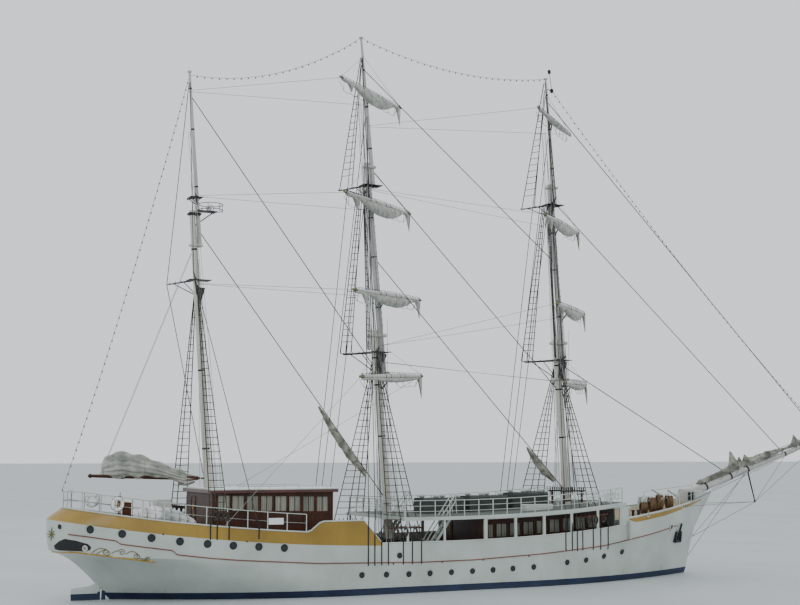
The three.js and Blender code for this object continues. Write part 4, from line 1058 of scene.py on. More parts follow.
def deck_slab(stations, line, inset=PLATE, thick=0.05):
    """A deck from side to side at a line's height, with its underside and edges."""
    cells = 10
    rows = []
    for station in stations:
        section = column(station, inset)
        x, y, _ = at_row(section, crossing(section, line))
        rows.append([(x, y * (2 * i / cells - 1), line(x)) for i in range(cells + 1)])
    points = [p for row in rows for p in row]
    top = len(points)
    points += [(x, y, z - thick) for x, y, z in points]
    faces, wide = [], cells + 1
    for i in range(len(rows) - 1):
        for j in range(cells):
            a = i * wide + j
            faces += [(a, a + wide, a + wide + 1, a + 1),
                      (top + a, top + a + 1, top + a + wide + 1, top + a + wide)]
        for j, turn in ((0, 1), (cells, -1)):
            a, b = i * wide + j, (i + 1) * wide + j
            faces.append((a, b, top + b, top + a)[::-turn])
    last = (len(rows) - 1) * wide
    for j in range(cells):
        faces += [(j, j + 1, top + j + 1, top + j), (last + j + 1, last + j, top + last + j,
                                                     top + last + j + 1)]
    return np.array(points), faces


def decks():
    """Teak on the poop, waist and forecastle; paint on the shelter deck."""
    planks = Parts()
    planks.add(deck_slab(up_to(POOP_FRONT), poop_deck))
    planks.add(deck_slab(beyond(POOP_FRONT, SHELTER_END), deck_line))
    planks.add(deck_slab(beyond(SHELTER_END), fore_deck))
    made("deck_planks", planks, teak_planking)
    shelter = deck_slab([("mid", float(x)) for x in np.linspace(-2.75, 13.15, 34)],
                        lambda x: shelter_deck(x) + 0.015, inset=0.22, thick=0.02)
    made("shelter_deck_surface", shelter, deck_paint)


def break_of_poop():
    """The step from the waist to the poop and the wall below the forecastle, with short ladders."""
    wall = Parts()
    for x0, x1, low, high, half in ((-5.0, -4.94, deck_line, poop_deck, 4.27),
                                    (13.44, 13.5, deck_line, fore_deck, 4.02)):
        wall.block(x0, x1, -half, half, low(x0), high(x0) + 0.02)
        for y in np.arange(-half + 0.5, half - 0.3, 0.9):
            face = x1 if x0 < 0 else x0
            wall.block(face - 0.02, face + 0.02, y - 0.04, y + 0.04, low(x0), high(x0))
    for side in (-1, 1):
        for y in (2.75, 3.45):
            outline = ((-4.94, 1.86), (-4.1, 1.86), (-4.0, 1.86), (-4.84, 3.02), (-4.94, 3.02))
            wall.add(cut_out([(x, side * y, z) for x, z in outline], (0, side * 0.02, 0)))
        for step in range(4):
            share = (step + 0.6) / 4.4
            x, z = -4.05 - 0.84 * share, 1.86 + 1.1 * share
            wall.block(x - 0.14, x + 0.06, side * 2.75, side * 3.45, z - 0.02, z + 0.02)
    # middle of the shelter's forward end; the side passages stay open
    wall.block(13.26, 13.32, -2.5, 2.5, fore_deck(13.3) - 0.4, shelter_under(13.3))
    made("poop_and_forecastle_fronts", wall, white_enamel)


def keel_and_post():
    """Bar keel, stern post, shaft boss and the bilge keels."""
    keel = Parts()
    keel.block(-18.5, 16.6, -0.14, 0.14, -3.3, -2.98, 0.03)
    keel.block(-20.05, -18.0, -0.14, 0.14, -3.3, -3.06, 0.03)
    keel.block(-19.66, -19.46, -0.11, 0.11, -3.1, 0.5, 0.03)
    keel.turn([(0, 0.3), (0.5, 0.3), (0.9, 0.27), (1, 0.24)], (-16.6, 0, -1.75), (-18.68, 0, -1.75), 20)
    for side in (-1, 1):
        run = []
        for x in np.linspace(-6, 6, 17):
            point, normal = on_skin(x, -2.35, side)
            share = 1 - abs(x / 6) ** 3
            out = normal * (0.02 + 0.32 * share)
            run.append([point - normal * 0.02 + Vector((0, 0, 0.03)), point + out,
                        point - normal * 0.02 - Vector((0, 0, 0.03))])
        keel.add(swept(run))
    made("keel_and_stern_post", keel, blue_bottom)


def strake(line, half, proud, side, step=0.3):
    """A moulding on the skin along (x, z[, half height]) points."""
    xs = np.array([p[0] for p in line])
    order = np.argsort(xs)
    xs, zs = xs[order], np.array([p[1] for p in line])[order]
    halves = np.array([p[2] if len(p) > 2 else half for p in line])[order]
    run = []
    for x in np.linspace(xs[0], xs[-1], max(3, int((xs[-1] - xs[0]) / step) + 1)):
        point, normal = on_skin(x, float(np.interp(x, xs, zs)), side)
        up = (Vector((0, 0, 1)) - normal * normal.z).normalized() * float(np.interp(x, xs, halves))
        run.append([point - up - normal * 0.03, point - up + normal * proud * 0.4,
                    point - up * 0.6 + normal * proud,
                    point + up * 0.6 + normal * proud, point + up + normal * proud * 0.4,
                    point + up - normal * 0.03])
    return swept(run)


RUBBING = [
    (-21.9, 3.75), (-20.9, 3.62), (-19.61, 3.42), (-19.36, 3.24), (-18.0, 3.05), (-16.68, 2.87),
    (-16.46, 2.64), (-14.67, 2.41),
    (-13.0, 2.25), (-8.3, 1.92), (-1.7, 1.77), (1.75, 1.79), (6.5, 1.99), (11.2, 2.32), (15.8, 2.92),
    (18.6, 3.34),
]
KNUCKLE_LINE = [(-22.45, 2.74), (-21.67, 2.78), (-20.12, 2.61), (-19.02, 2.46), (-17.5, 2.24)]
BOW_STRIPE = [(x, bow_cap(x) - 0.05 - half, half) for x, half in ((13.55, 0.03), (14.2, 0.15), (17.0, 0.15),
        (20.0, 0.1), (22.2, 0.05))]


def mouldings():
    """Red rubbing strips, the gilded moulding of the knuckle and the ochre stripe at the bow."""
    red, gold, stripe = Parts(), Parts(), Parts()
    for side in (-1, 1):
        red.add(strake(RUBBING, 0.036, 0.04, side, 0.12))
        gold.add(strake(KNUCKLE_LINE, 0.04, 0.05, side))
        stripe.add(strake(BOW_STRIPE, 0.1, 0.012, side))
    made("rubbing_strips", red, oxide_enamel)
    made("gilded_knuckle_moulding", gold, gold_paint)
    made("bow_stripe", stripe, ochre_enamel)


UPPER_PORTS = [(-20.88, 4.02), (-19.31, 3.79), (-17.81, 3.56), (-16.31, 3.35), (-14.81, 3.19),
               (-13.37, 3.06), (-11.9, 2.96), (-10.39, 2.85)]
LOWER_PORTS = [(-5.61, 1.16), (-4.05, 1.13), (-2.6, 1.1), (-1.21, 1.1), (0.22, 1.11), (1.65, 1.12),
               (3.06, 1.14),
               (4.45, 1.17), (5.93, 1.21), (8.42, 1.4), (9.91, 1.48), (11.4, 1.66), (12.98, 1.86),
               (-3.2, 2.2)]


def portholes():
    """Round lights let into the skin: a dark rim, a recessed glass and a drip brow over each."""
    for label, ports, radius in (("upper", UPPER_PORTS, 0.19), ("lower", LOWER_PORTS, 0.145)):
        spots, facing, brows = [], [], Parts()
        for side in (-1, 1):
            for x, z in ports:
                point, normal = on_skin(x, z, side)
                spots.append(point)
                facing.append(normal)
                arc = []
                for a in np.linspace(0.25, math.pi - 0.25, 9):
                    r = radius + 0.07
                    q, n = on_skin(x + r * math.cos(a), z + r * math.sin(a), side)
                    out = Vector((math.cos(a), 0, math.sin(a))) * 0.012
                    arc.append([q - n * 0.01 - out, q + n * 0.035 - out, q + n * 0.035 + out,
                                q - n * 0.01 + out])
                brows.add(swept(arc))
        rim = ring((0, 0, 0.004), (0, 0, 1), radius, 0.028, 24, 6)
        glass = turned([(0, radius), (0.7, radius), (1, radius * 0.93)], (0, 0, -0.05), (0, 0, 0.012), 24)
        copies(label + "_porthole_rims", spots, facing, rim, black_iron)
        copies(label + "_porthole_lights", spots, facing, glass, window_glass)
        made(label + "_porthole_brows", brows, white_enamel)


hull_plating()
bulwark_lining()
bulwark_stays()
bulwark_caps()
shelter_pillars()
decks()
break_of_poop()
keel_and_post()
mouldings()
portholes()


# houses, rails and deck fittings; the second material of each pair
BRASS = FASCIA = IRON = BAND = 1


def plate_on_side(x0, x1, z0, z1, y, side, thick):
    return chamfered(x0, x1, side * y, side * (y + thick), z0, z1, 0.006)


def window_frames(parts, x0, x1, z0, z1, y, side):
    """A proud frame round an opening in a side wall whose outer face is at y."""
    width = 0.045
    for a, b, c, d in ((x0 - width, x1 + width, z1, z1 + width), (x0 - width, x1 + width, z0 - width, z0),
                       (x0 - width, x0, z0, z1), (x1, x1 + width, z0, z1)):
        parts.add(plate_on_side(a, b, c, d, y - 0.01, side, 0.045))


def house(name, x0, x1, half, floor, top, windows, door_x):
    """Trim, panes and curtains of a deckhouse whose walls are the frame's."""
    trim, panes, blinds = Parts(), Parts(), Parts()
    for side in (-1, 1):
        for k, (a, b, c, d) in enumerate(windows):
            window_frames(trim, a, b, c, d, half, side)
            panes.add(plate_on_side(a - 0.004, b + 0.004, c - 0.004, d + 0.004, half - 0.055, side, 0.012))
            trim.add(plate_on_side((a + b) / 2 - 0.012, (a + b) / 2 + 0.012, c, d, half - 0.03, side, 0.03))
            # drawn curtain behind one half of most panes
            if k % 4 != 3:
                left, right = (a + 0.02, a + (b - a) * 0.46) if k % 2 else (a + (b - a) * 0.54, b - 0.02)
                blinds.add(plate_on_side(left, right, c + 0.02, d - 0.02, half - 0.092, side, 0.014))
        # corner posts, sill rail, foot rail and uprights between the panels
        for x in (x0 + 0.01, x1 - 0.11):
            trim.add(plate_on_side(x, x + 0.1, floor(x) + 0.05, top(x) - 0.02, half - 0.01, side, 0.035))
        for a, b, c, d in windows:
            low, sill = floor((a + b) / 2) + 0.16, c - 0.1
            trim.add(plate_on_side(a - 0.07, a - 0.02, low, sill - 0.04, half - 0.01, side, 0.026))
            trim.add(plate_on_side(a - 0.1, b + 0.1, sill - 0.05, sill + 0.01, half - 0.01, side, 0.05))
            trim.add(plate_on_side(a - 0.1, b + 0.1, low - 0.1, low, half - 0.01, side, 0.04))
    for y0, y1 in ((-1.9, -1.15), (1.15, 1.9)):
        c, d = windows[-1][2], windows[-1][3]
        panes.block(x1 - 0.06, x1 - 0.045, y0 - 0.004, y1 + 0.004, c - 0.004, d + 0.004, 0.002)
        for p, q, r, s in ((y0 - 0.05, y1 + 0.05, d, d + 0.05), (y0 - 0.05, y1 + 0.05, c - 0.05, c),
                           (y0 - 0.05, y0, c, d), (y1, y1 + 0.05, c, d)):
            trim.block(x1 - 0.01, x1 + 0.035, p, q, r, s, 0.005)
    for y in (0.68, 1.52):
        trim.block(x0 - 0.03, x0 + 0.01, y, y + 0.06, floor(x0) + 0.1, floor(x0) + 2.08, 0.005)
    trim.block(x0 - 0.03, x0 + 0.01, 0.68, 1.58, floor(x0) + 2.03, floor(x0) + 2.1, 0.005)
    made(name + "_trim", trim, level_mahogany)
    made(name + "_window_panes", panes, house_glass)
    made(name + "_curtains", blinds, cover_cloth)
    door = Parts()
    sill = floor(x0) + 0.12
    for low, high in ((0.14, 0.82), (0.98, 1.72)):
        door.block(x0 - 0.018, x0 + 0.005, 0.86, 1.38, sill + low, sill + high, 0.01)
    door.hoop((x0 - 0.03, 1.12, sill + 1.36), (1, 0, 0), 0.15, 0.02, 20, 6, index=BRASS)
    door.turn([(0, 0.012), (0.5, 0.012), (0.55, 0.034), (1, 0.02)], (x0, 0.84, sill + 0.95),
              (x0 - 0.1, 0.84, sill + 0.95), 12, index=BRASS)
    made(name + "_door_panels", door, [level_mahogany, polished_brass], door_x)


def window_row(count, start, pitch, wide, tall, sill):
    lefts = [start + pitch * i for i in range(count)]
    return [(a, a + wide, sill(a), sill(a) + tall) for a in lefts]


MID_WINDOWS = window_row(9, 3.31, 0.9722, 0.7522, 0.78, lambda a: waist_cap(a + 0.376))
AFT_WINDOWS = window_row(8, -13.77, 0.8625, 0.7025, 0.85, lambda a: 4.78 - 0.02 * (a + 7.05))


def house_roof():
    """White roof sheet with a slight crown over a dark fascia."""
    roof = Parts()
    x0, x1, half = -14.3, -6.45, 2.85
    rows = []
    for y in np.linspace(-half, half, 15):
        crown = 0.055 * (1 - (y / half) ** 2)
        rows.append([(x0, y, 6.1), (x0, y, 6.125 + crown), (x1, y, 6.125 + crown), (x1, y, 6.1)])
    points = [p for row in rows for p in row]
    faces = [(4 * i + j, 4 * i + (j + 1) % 4, 4 * i + 4 + (j + 1) % 4, 4 * i + 4 + j) for i in range(14)
             for j in range(4)]
    faces += [(3, 2, 1, 0), (56, 57, 58, 59)]
    roof.add((np.array(points, float), faces), 0)
    for side in (-1, 1):
        roof.block(x0 + 0.01, x1 - 0.01, side * (half - 0.06), side * (half - 0.008), 5.9, 6.1,
                   index=FASCIA)
        roof.block(x0, x1, side * (half - 0.03), side * (half + 0.005), 6.07, 6.128, 0.01)
    for x in (x0 + 0.01, x1 - 0.06):
        roof.block(x, x + 0.05, -half + 0.02, half - 0.02, 5.9, 6.1, index=FASCIA)
    roof.block(x0 + 0.05, x1 - 0.05, -half + 0.05, half - 0.05, 5.985, 6.11, index=FASCIA)
    # grab rails on the roof
    for side in (-1, 1):
        for x in np.arange(-12.4, -6.9, 0.9):
            roof.rod(0.018, (x, side * 2.35, 6.12), (x, side * 2.35, 6.26), 6)
        roof.rod(0.022, (-12.4, side * 2.35, 6.26), (-7.0, side * 2.35, 6.26), 8)
    made("aft_deckhouse_roof_sheet", roof, [white_enamel, maroon_enamel], replaces=("aft_deckhouse_roof",))


def rail_path(line, x0, x1, inset, side):
    path, step = [], 0.4
    for x in np.linspace(x0, x1, max(2, int(abs(x1 - x0) / step))):
        point, _ = on_skin(x, line(x) - 0.05, side)
        path.append((x, point.y - side * inset, line(x)))
    return path


# spacing, height, post radius, rail radius, middle rail's height, lower rail's height
POOP_RAIL = (1.09, 1.02, 0.034, 0.023, 0.52, 0.52)
UPPER_RAIL = (0.97, 0.96, 0.034, 0.024, 0.64, 0.32)
BOW_RAIL = (1.2, 0.86, 0.024, 0.02, 0.45, 0.45)
STERN_RAIL = (0.9, 1.02, 0.034, 0.03, 0.52, 0.52)
AFTER_RAIL = (1.0, 0.96, 0.034, 0.032, 0.64, 0.32)


def guard_rail(name, path, sizes, replaces=()):
    labels = ("Spacing", "Height", "Post Radius", "Rail Radius", "Middle Height", "Lower Height")
    grown(name, [path], RAILS, dict(zip(labels, sizes)), white_enamel, replaces=replaces)


def rails():
    for side, hand in SIDES:
        guard_rail("poop_guard_rail_" + hand, rail_path(ochre_cap, -21.2, -9.05, 0.05, side), POOP_RAIL,
                   ("poop_rail_" + hand,))
        guard_rail("upper_guard_rail_" + hand, rail_path(shelter_deck, -2.75, 13.05, 0.16, side),
                   UPPER_RAIL, ("upper_rail_" + hand,))
        guard_rail("bow_guard_rail_" + hand, rail_path(bow_cap, 18.9, 21.9, 0.1, side), BOW_RAIL)
    stern = []
    for a in np.linspace(-1, 1, 17):
        x = -21.2 - 0.75 * math.cos(a * QUARTER)
        point, _ = on_skin(-21.2, ochre_cap(-21.2) - 0.05, 1)
        stern.append((x, a * (point.y - 0.05), ochre_cap(-21.3)))
    guard_rail("stern_guard_rail", stern, STERN_RAIL)
    across = [(-2.75, y, shelter_deck(-2.75)) for y in np.linspace(-4.1, 4.1, 12)]
    guard_rail("upper_deck_after_rail", across, AFTER_RAIL)


def ladders():
    """The two ladders from the waist to the shelter deck, with handrails."""
    for side, hand in SIDES:
        parts = Parts()
        foot, head = Vector((-1.15, 0, 1.88)), Vector((0.95, 0, 4.85))
        cut = (4.19 - 1.88) / (4.85 - 1.88)
        for y in (2.98, 3.52):
            a, b = foot + Vector((0, side * y, 0)), foot.lerp(head, cut) + Vector((0, side * y, 0))
            outline = [a, a + Vector((0.2, 0, 0)), b + Vector((0.2, 0, 0)), b]
            parts.add(cut_out(outline, (0, 0.022, 0)))
            for post in (0.12, 0.72, 1.0):
                low = foot.lerp(head, post) + Vector((0.1, side * y, 0.0 if post < 0.75 else -0.3))
                parts.rod(0.03, low, foot.lerp(head, post) + Vector((0.02, side * y, 0.86)), 8)
            for lift in (0.86, 0.45):
                parts.rod(0.034, foot.lerp(head, 0.06) + Vector((0, side * y, lift)),
                          head + Vector((0.05, side * y, lift)), 8)
        for k in range(8):
            share = (k + 1) / 10.2
            p = foot.lerp(head, share)
            if p.z < 4.15:
                parts.block(p.x, p.x + 0.2, side * 2.98, side * 3.52, p.z - 0.016, p.z + 0.016)
        made("waist_ladder_steps_" + hand, parts, white_enamel, replaces=("waist_ladder_" + hand,))


def rudder_blade():
    """The blade, faired from its stock to a thin after edge, blue below the water and white above."""
    outline = [(-19.87, -2.98), (-19.87, 0.98), (-20.1, 0.9), (-20.42, 0.74), (-21.2, 0.72), (-21.38, 0.6),
               (-21.4, 0.3), (-21.25, -1.2), (-21.1, -2.6), (-20.8, -2.98)]
    blade = Parts()
    for low, high, index in ((-3.0, 0.36, BLUE), (0.36, 1.0, WHITE)):
        loops = []
        for z in np.linspace(low, high, 14 if index == BLUE else 9):
            z = min(max(z, -2.975), 0.965)
            xs = []
            for (xa, za), (xb, zb) in zip(outline, outline[1:] + outline[:1]):
                if (za - z) * (zb - z) <= 0 and za != zb:
                    xs.append(xa + (xb - xa) * (z - za) / (zb - za))
            fore, aft = max(xs), min(xs)
            depth = fore - aft
            rim = [(fore, 0.07), (fore - depth * 0.3, 0.085), (aft + depth * 0.25, 0.05), (aft, 0.014)]
            loops.append([(x, y, z) for x, y in rim] + [(x, -y, z) for x, y in reversed(rim)])
        blade.add(swept(loops), index)
    blade.rod(0.1, (-19.85, 0, -3.055), (-19.85, 0, 0.45), 18)
    blade.rod(0.1, (-19.85, 0, 0.45), (-19.85, 0, 0.99), 18, index=WHITE)
    for z in (-2.3, -1.2, -0.1):
        for side in (-1, 1):
            blade.block(-20.75, -19.9, side * 0.07, side * 0.1, z - 0.06, z + 0.06)
    made("rudder_blade", blade, [blue_bottom, white_enamel], "rudder", replaces=("rudder",))


def helm():
    """The steering wheel with its hub and spokes, and the column behind it with the compass."""
    x, z = -18.75, 2.95 + sheer(-18.75) + 1.12
    wheel = Parts()
    wheel.hoop((x, 0, z), (1, 0, 0), 0.52, 0.034, 32, 8)
    wheel.hoop((x, 0, z), (1, 0, 0), 0.3, 0.016, 28, 6, index=BRASS)
    wheel.turn([(0, 0.05), (0.15, 0.1), (0.85, 0.1), (1, 0.05)], (x - 0.07, 0, z), (x + 0.06, 0, z), 18,
               index=BRASS)
    for k in range(8):
        a = math.pi * k / 4
        out = Vector((0, math.cos(a), math.sin(a)))
        hub = Vector((x, 0, z))
        wheel.turn([(0, 0.018), (0.3, 0.026), (0.62, 0.016), (0.72, 0.02), (0.78, 0.014), (0.9, 0.026),
                    (0.97, 0.024), (1, 0.01)], hub + out * 0.09, hub + out * 0.72, 8)
    made("steering_wheel", wheel, [level_mahogany, polished_brass], "helm", replaces=("helm_wheel",))
    box = Parts()
    deck = poop_deck(x) + 0.02
    box.block(x + 0.13, x + 0.61, -0.235, 0.235, deck, z + 0.1, 0.02)
    box.block(x + 0.06, x + 0.68, -0.3, 0.3, deck, deck + 0.1, 0.015)
    box.block(x + 0.1, x + 0.64, -0.26, 0.26, z + 0.1, z + 0.15, 0.015)
    box.rod(0.03, (x - 0.12, 0, z), (x + 0.2, 0, z), 14, index=BRASS)
    box.turn([(0, 0.15), (0.5, 0.15), (0.75, 0.11), (1, 0.03)], (x + 0.37, 0, z + 0.14),
             (x + 0.37, 0, z + 0.22), 20, index=BRASS)
    for y in (-0.12, 0.12):
        box.block(x + 0.122, x + 0.14, y - 0.09, y + 0.09, deck + 0.2, z - 0.1, 0.008)
    made("helm_column_and_compass", box, [level_mahogany, polished_brass], replaces=("helm_pedestal",))


def bowsprit_spar():
    """The bowsprit and jib boom with their bands, the striker and the heel's chocks."""
    spar = Parts()
    spar.turn([(0, 0.2), (0.01, 0.27), (0.5, 0.25), (1, 0.22)], on_bowsprit(20.9), on_bowsprit(27.0), 22)
    spar.turn([(0, 0.2), (0.5, 0.16), (0.97, 0.105), (1, 0.06)], on_bowsprit(26.9), on_bowsprit(34.05), 20)
    for x in (22.6, 24.8, 26.35, 29.85, 33.4):
        r = (0.27 - 0.008 * (x - 20.9)) if x < 26.9 else 0.2 - 0.0143 * (x - 26.9)
        spar.turn([(0, r), (0.15, r + 0.02), (0.85, r + 0.02), (1, r)], on_bowsprit(x),
                  on_bowsprit(x + 0.16), 20, index=IRON)
    spar.turn([(0, 0.06), (0.9, 0.045), (1, 0.07)], on_bowsprit(26.47),
              on_bowsprit(26.47) + Vector((0.62, 0, -2.35)), 12, index=IRON)
    spar.block(20.6, 21.65, -0.4, 0.4, 4.72, 5.72, 0.05)
    spar.block(21.15, 22.25, -0.3, 0.3, 5.3, 5.78, 0.05)
    for side in (-1, 1):
        spar.block(20.85, 21.4, side * 0.4, side * 0.425, 4.95, 5.5, 0.01, index=IRON)
    made("bowsprit_spars", spar, [upper_spar_enamel, black_iron], replaces=("bowsprit",))


def emblem_rail():
    """The open-work rail ahead of the fore mast: scrolls each side of a ring."""
    for side, hand in SIDES:
        lines = []

        def place(x, up):
            point, _ = on_skin(x, shelter_deck(x) - 0.05, side)
            return Vector((x, point.y - side * 0.16, shelter_deck(x) + up))

        for radius in (0.36, 0.24, 0.1):
            lines.append([place(12.0 + radius * math.cos(a), 0.5 + radius * math.sin(a))
                          for a in np.linspace(0, TURN, 25)])
        for k in range(4):
            a = math.pi / 4 + k * QUARTER
            lines.append([place(12.0 + r * math.cos(a), 0.5 + r * math.sin(a)) for r in (0.1, 0.36)])
        for centre, turn in ((10.35, 1), (10.9, -1), (11.35, 1), (12.65, -1)):
            curl = [place(centre + turn * (0.04 + 0.026 * t) * math.cos(t),
                          0.5 + (0.04 + 0.05 * t) * math.sin(t)) for t in np.linspace(0, 7.6, 30)]
            lines.append(curl)
        wires("scroll_rail_" + hand, lines, 0.022, white_enamel, sides=8)


def life_ring(name, centre, facing):
    """A ring with four bands and a rope round it."""
    buoy = Parts()
    buoy.hoop(centre, facing, 0.3, 0.085, 40, 12)
    across, up = frame_along(facing)
    for k in range(4):
        a = math.pi / 4 + k * QUARTER
        spoke = across * math.cos(a) + up * math.sin(a)
        tangent = up * math.cos(a) - across * math.sin(a)
        buoy.hoop(Vector(centre) + spoke * 0.3, tangent, 0.09, 0.012, 16, 5, index=BAND)
    rope = [Vector(centre) + (across * math.cos(a) + up * math.sin(a)) * (0.4 + 0.02 * math.sin(4 * a))
            for a in np.linspace(0, TURN, 41)]
    made(name, buoy, [white_plastic, oxide_enamel])
    wires(name + "_line", [rope], 0.012, manila_rope, sides=5)


def hawser(name, start, end, radius, turns, seed):
    """A heavy rope faked down on the forecastle in upright loops."""
    chance = random.Random(seed)
    start, end = Vector(start), Vector(end)
    lines = []
    for k in range(turns):
        middle = start.lerp(end, (k + 0.5) / turns)
        lean = chance.uniform(-0.05, 0.05)
        loop = []
        for a in np.linspace(0, TURN, 33):
            tall = radius * (1.0 + 0.1 * math.sin(3 * k + 1))
            loop.append(middle + Vector((0.1 * math.cos(a) + lean * math.sin(a), 0.3 * math.cos(a),
                                         0.02 + tall * (1 + math.sin(a)) * 0.9)))
        lines.append(loop)
    wires(name, lines, 0.055, manila_rope, sides=10)


def raft_line(x):
    """Where the rafts lie across the deck: inside the starboard bulwark, following it."""
    return on_skin(x, ochre_cap(x) - 0.15, -1)[0].y + 0.62


def raft_cover():
    """The covered rafts inside the poop rail: one long lashed hump."""
    rows = []
    for k in range(49):
        share = k / 48
        x = -18.6 + 3.4 * share
        tall = 0.8 * (max(0.0, math.sin(math.pi * min(1, share * 1.02))) ** 0.45) * (1 - 0.25 * share)
        base = poop_deck(x) + 0.62
        rows.append((Vector((x, raft_line(x), base + tall / 2 - 0.1)), Vector((0, 1, 0)), Vector((0, 0, 1)),
                     0.4 * (tall / 0.8) ** 0.5, tall / 2 + 0.05))
    cover = made("raft_cover", bundle(rows, 0.14, 91, 34), cover_cloth, edge=70)
    wires("raft_lashings", tied(rows, 0.45, 1.03, 20), 0.014, manila_rope, sides=5)
    cradle = Parts()
    for x in (-18.2, -17.1, -15.9):
        deck, y = poop_deck(x), raft_line(x)
        cradle.block(x - 0.05, x + 0.05, y - 0.3, y + 0.3, deck - 0.02, deck + 0.62, 0.01)
    for aside in (-0.26, 0.26):
        bearer = [Vector((x, raft_line(x) + aside, poop_deck(x) + 0.56))
                  for x in np.linspace(-18.4, -15.5, 8)]
        for a, b in zip(bearer, bearer[1:]):
            cradle.rod(0.04, a, b, 8)
    made("raft_cradle", cradle, white_enamel)


def deck_fittings():
    """Lockers, vents, covered benches, bitts, pin rails, anchor davits and the rail board."""
    white, wood, iron = Parts(), Parts(), Parts()
    # bow lockers beside the bowsprit's heel, a companion on the poop and a locker on the shelter deck
    for side in (-1, 1):
        white.block(21.3, 22.0, side * 0.34, side * 0.62, 4.75, 5.62, 0.06)
    white.block(-16.75, -15.85, -0.45, 0.45, poop_deck(-16.3) - 0.05, poop_deck(-16.3) + 1.75, 0.05)
    white.block(6.3, 8.3, -2.95, -2.35, shelter_deck(6.3) - 0.02, shelter_deck(6.3) + 0.42, 0.04)
    benches = Parts()
    for x0, x1 in ((0.2, 3.1), (3.5, 6.3), (6.7, 9.3)):
        base, high = shelter_deck(x0) - 0.02, shelter_deck(x1) + 0.95
        outline = [(-0.75, base), (-0.75, high - 0.1), (-0.6, high), (0.6, high), (0.75, high - 0.1),
                   (0.75, base)]
        run = [[(x, y + 0.01 * math.sin(9 * x + 5 * y), z - 0.03 * abs(math.sin(2.1 * x)) * (z > base))
                for y, z in outline]
               for x in np.linspace(x0, x1, 16)]
        benches.add(swept(run))
        for k in range(4):
            x = x0 + (x1 - x0) * (k + 0.5) / 4
            white.turn([(0, 0.05), (0.2, 0.12), (0.8, 0.12), (1, 0.05)],
                       (x - 0.2, 0.3 * (-1) ** k, high + 0.1), (x + 0.2, 0.3 * (-1) ** k, high + 0.1), 12)
    made("covered_deck_benches", benches, slate_cover)
    # mushroom vents
    for x, y, deck_of in ((9.6, 1.4, shelter_deck), (9.6, -1.4, shelter_deck), (2.4, 1.6, shelter_deck),
                          (15.2, 1.3, fore_deck), (15.2, -1.3, fore_deck), (-16.2, 1.2, poop_deck)):
        z = deck_of(x)
        white.turn([(0, 0.09), (0.62, 0.09), (0.64, 0.2), (0.84, 0.19), (1, 0.05)], (x, y, z),
                   (x, y, z + 0.62), 18)
    # mooring bitts inside the rails
    for x, line in ((-20.2, ochre_cap), (-11.2, ochre_cap), (14.8, bow_cap)):
        for side in (-1, 1):
            point, _ = on_skin(x, line(x) - 0.1, side)
            y = point.y - side * 0.75
            floor = poop_deck(x) if x < 0 else fore_deck(x)
            for dx in (-0.22, 0.22):
                iron.turn([(0, 0.1), (0.8, 0.09), (0.84, 0.13), (1, 0.11)], (x + dx, y, floor),
                          (x + dx, y, floor + 0.5), 16)
            iron.block(x - 0.42, x + 0.42, y - 0.14, y + 0.14, floor, floor + 0.05, 0.01)
    # pin rails with belaying pins round the feet of the masts
    for x, line in ((MAIN["x"], deck_line), (FORE["x"], shelter_deck)):
        z = line(x) + 0.85
        for side in (-1, 1):
            iron.block(x - 0.95, x + 0.95, side * 0.62, side * 0.8, z - 0.04, z + 0.05, 0.015)
            for dx in (-0.7, 0.7):
                wood.block(x + dx - 0.06, x + dx + 0.06, side * 0.64, side * 0.78, line(x), z - 0.04, 0.015)
            for dx in np.arange(-0.85, 0.86, 0.17):
                iron.turn([(0, 0.02), (0.5, 0.024), (0.55, 0.035), (0.9, 0.042), (1, 0.02)],
                          (x + dx, side * 0.71, z - 0.28), (x + dx, side * 0.71, z + 0.26), 8)
    made("deck_lockers_and_vents", white, white_enamel)
    made("locker_lids_and_pin_rails", wood, level_mahogany)
    made("bitts_and_belaying_pins", iron, black_iron)
    davit = Parts()
    for side in (-1, 1):
        heel = Vector((19.5, side * 0.9, fore_deck(19.5)))
        davit.rod(0.09, heel, heel + Vector((0, 0, 0.75)), 14, tip=0.07)
        davit.turn([(0, 0.07), (0.1, 0.085), (0.9, 0.06), (1, 0.05)], heel + Vector((0.15, 0, 0.62)),
                   heel + Vector((-0.75, 0, 1.12)), 12)
    made("anchor_davits", davit, white_enamel)
    board = Parts()
    point, _ = on_skin(-10.9, ochre_cap(-10.9) - 0.05, -1)
    board.block(-11.35, -10.45, point.y - 0.02, point.y + 0.01, ochre_cap(-10.9) + 0.36,
                ochre_cap(-10.9) + 0.72, 0.01)
    made("blank_rail_board", board, white_plastic)


house("midship_house", 2.95, 12.2, 2.7, deck_line, shelter_under, MID_WINDOWS, "midship_house_door")
house("aft_deckhouse", -14.1, -6.7, 2.6, poop_deck, lambda x: 5.98, AFT_WINDOWS, "aft_deckhouse_door")
house_roof()
rails()
ladders()
rudder_blade()
helm()
bowsprit_spar()
emblem_rail()
deck_fittings()
life_ring("life_ring_starboard", (-19.64, -3.24, 5.41), (0.25, -1, 0))
life_ring("life_ring_port", (-19.64, 3.24, 5.41), (0.25, 1, 0))
for k, x in enumerate((16.3, 17.0, 17.6, 18.4)):
    hawser(f"hawser_{k}", (x - 0.25, -1.5, fore_deck(x) + 0.06), (x + 0.25, -1.5, fore_deck(x) + 0.06),
           (0.34, 0.46, 0.5, 0.42)[k], 5, k)
raft_cover()
for node, coating in (("upper_deck", white_enamel), ("midship_house", upright_mahogany),
                      ("aft_deckhouse", upright_mahogany), ("midship_house_door", level_mahogany),
                      ("aft_deckhouse_door", level_mahogany), ("anchor_starboard", black_iron),
                      ("anchor_port", black_iron), ("windlass", white_enamel), ("propeller", cast_bronze)):
    dress(node, coating)


# masts, spars and rigging
WOOD, GILT = 1, 2
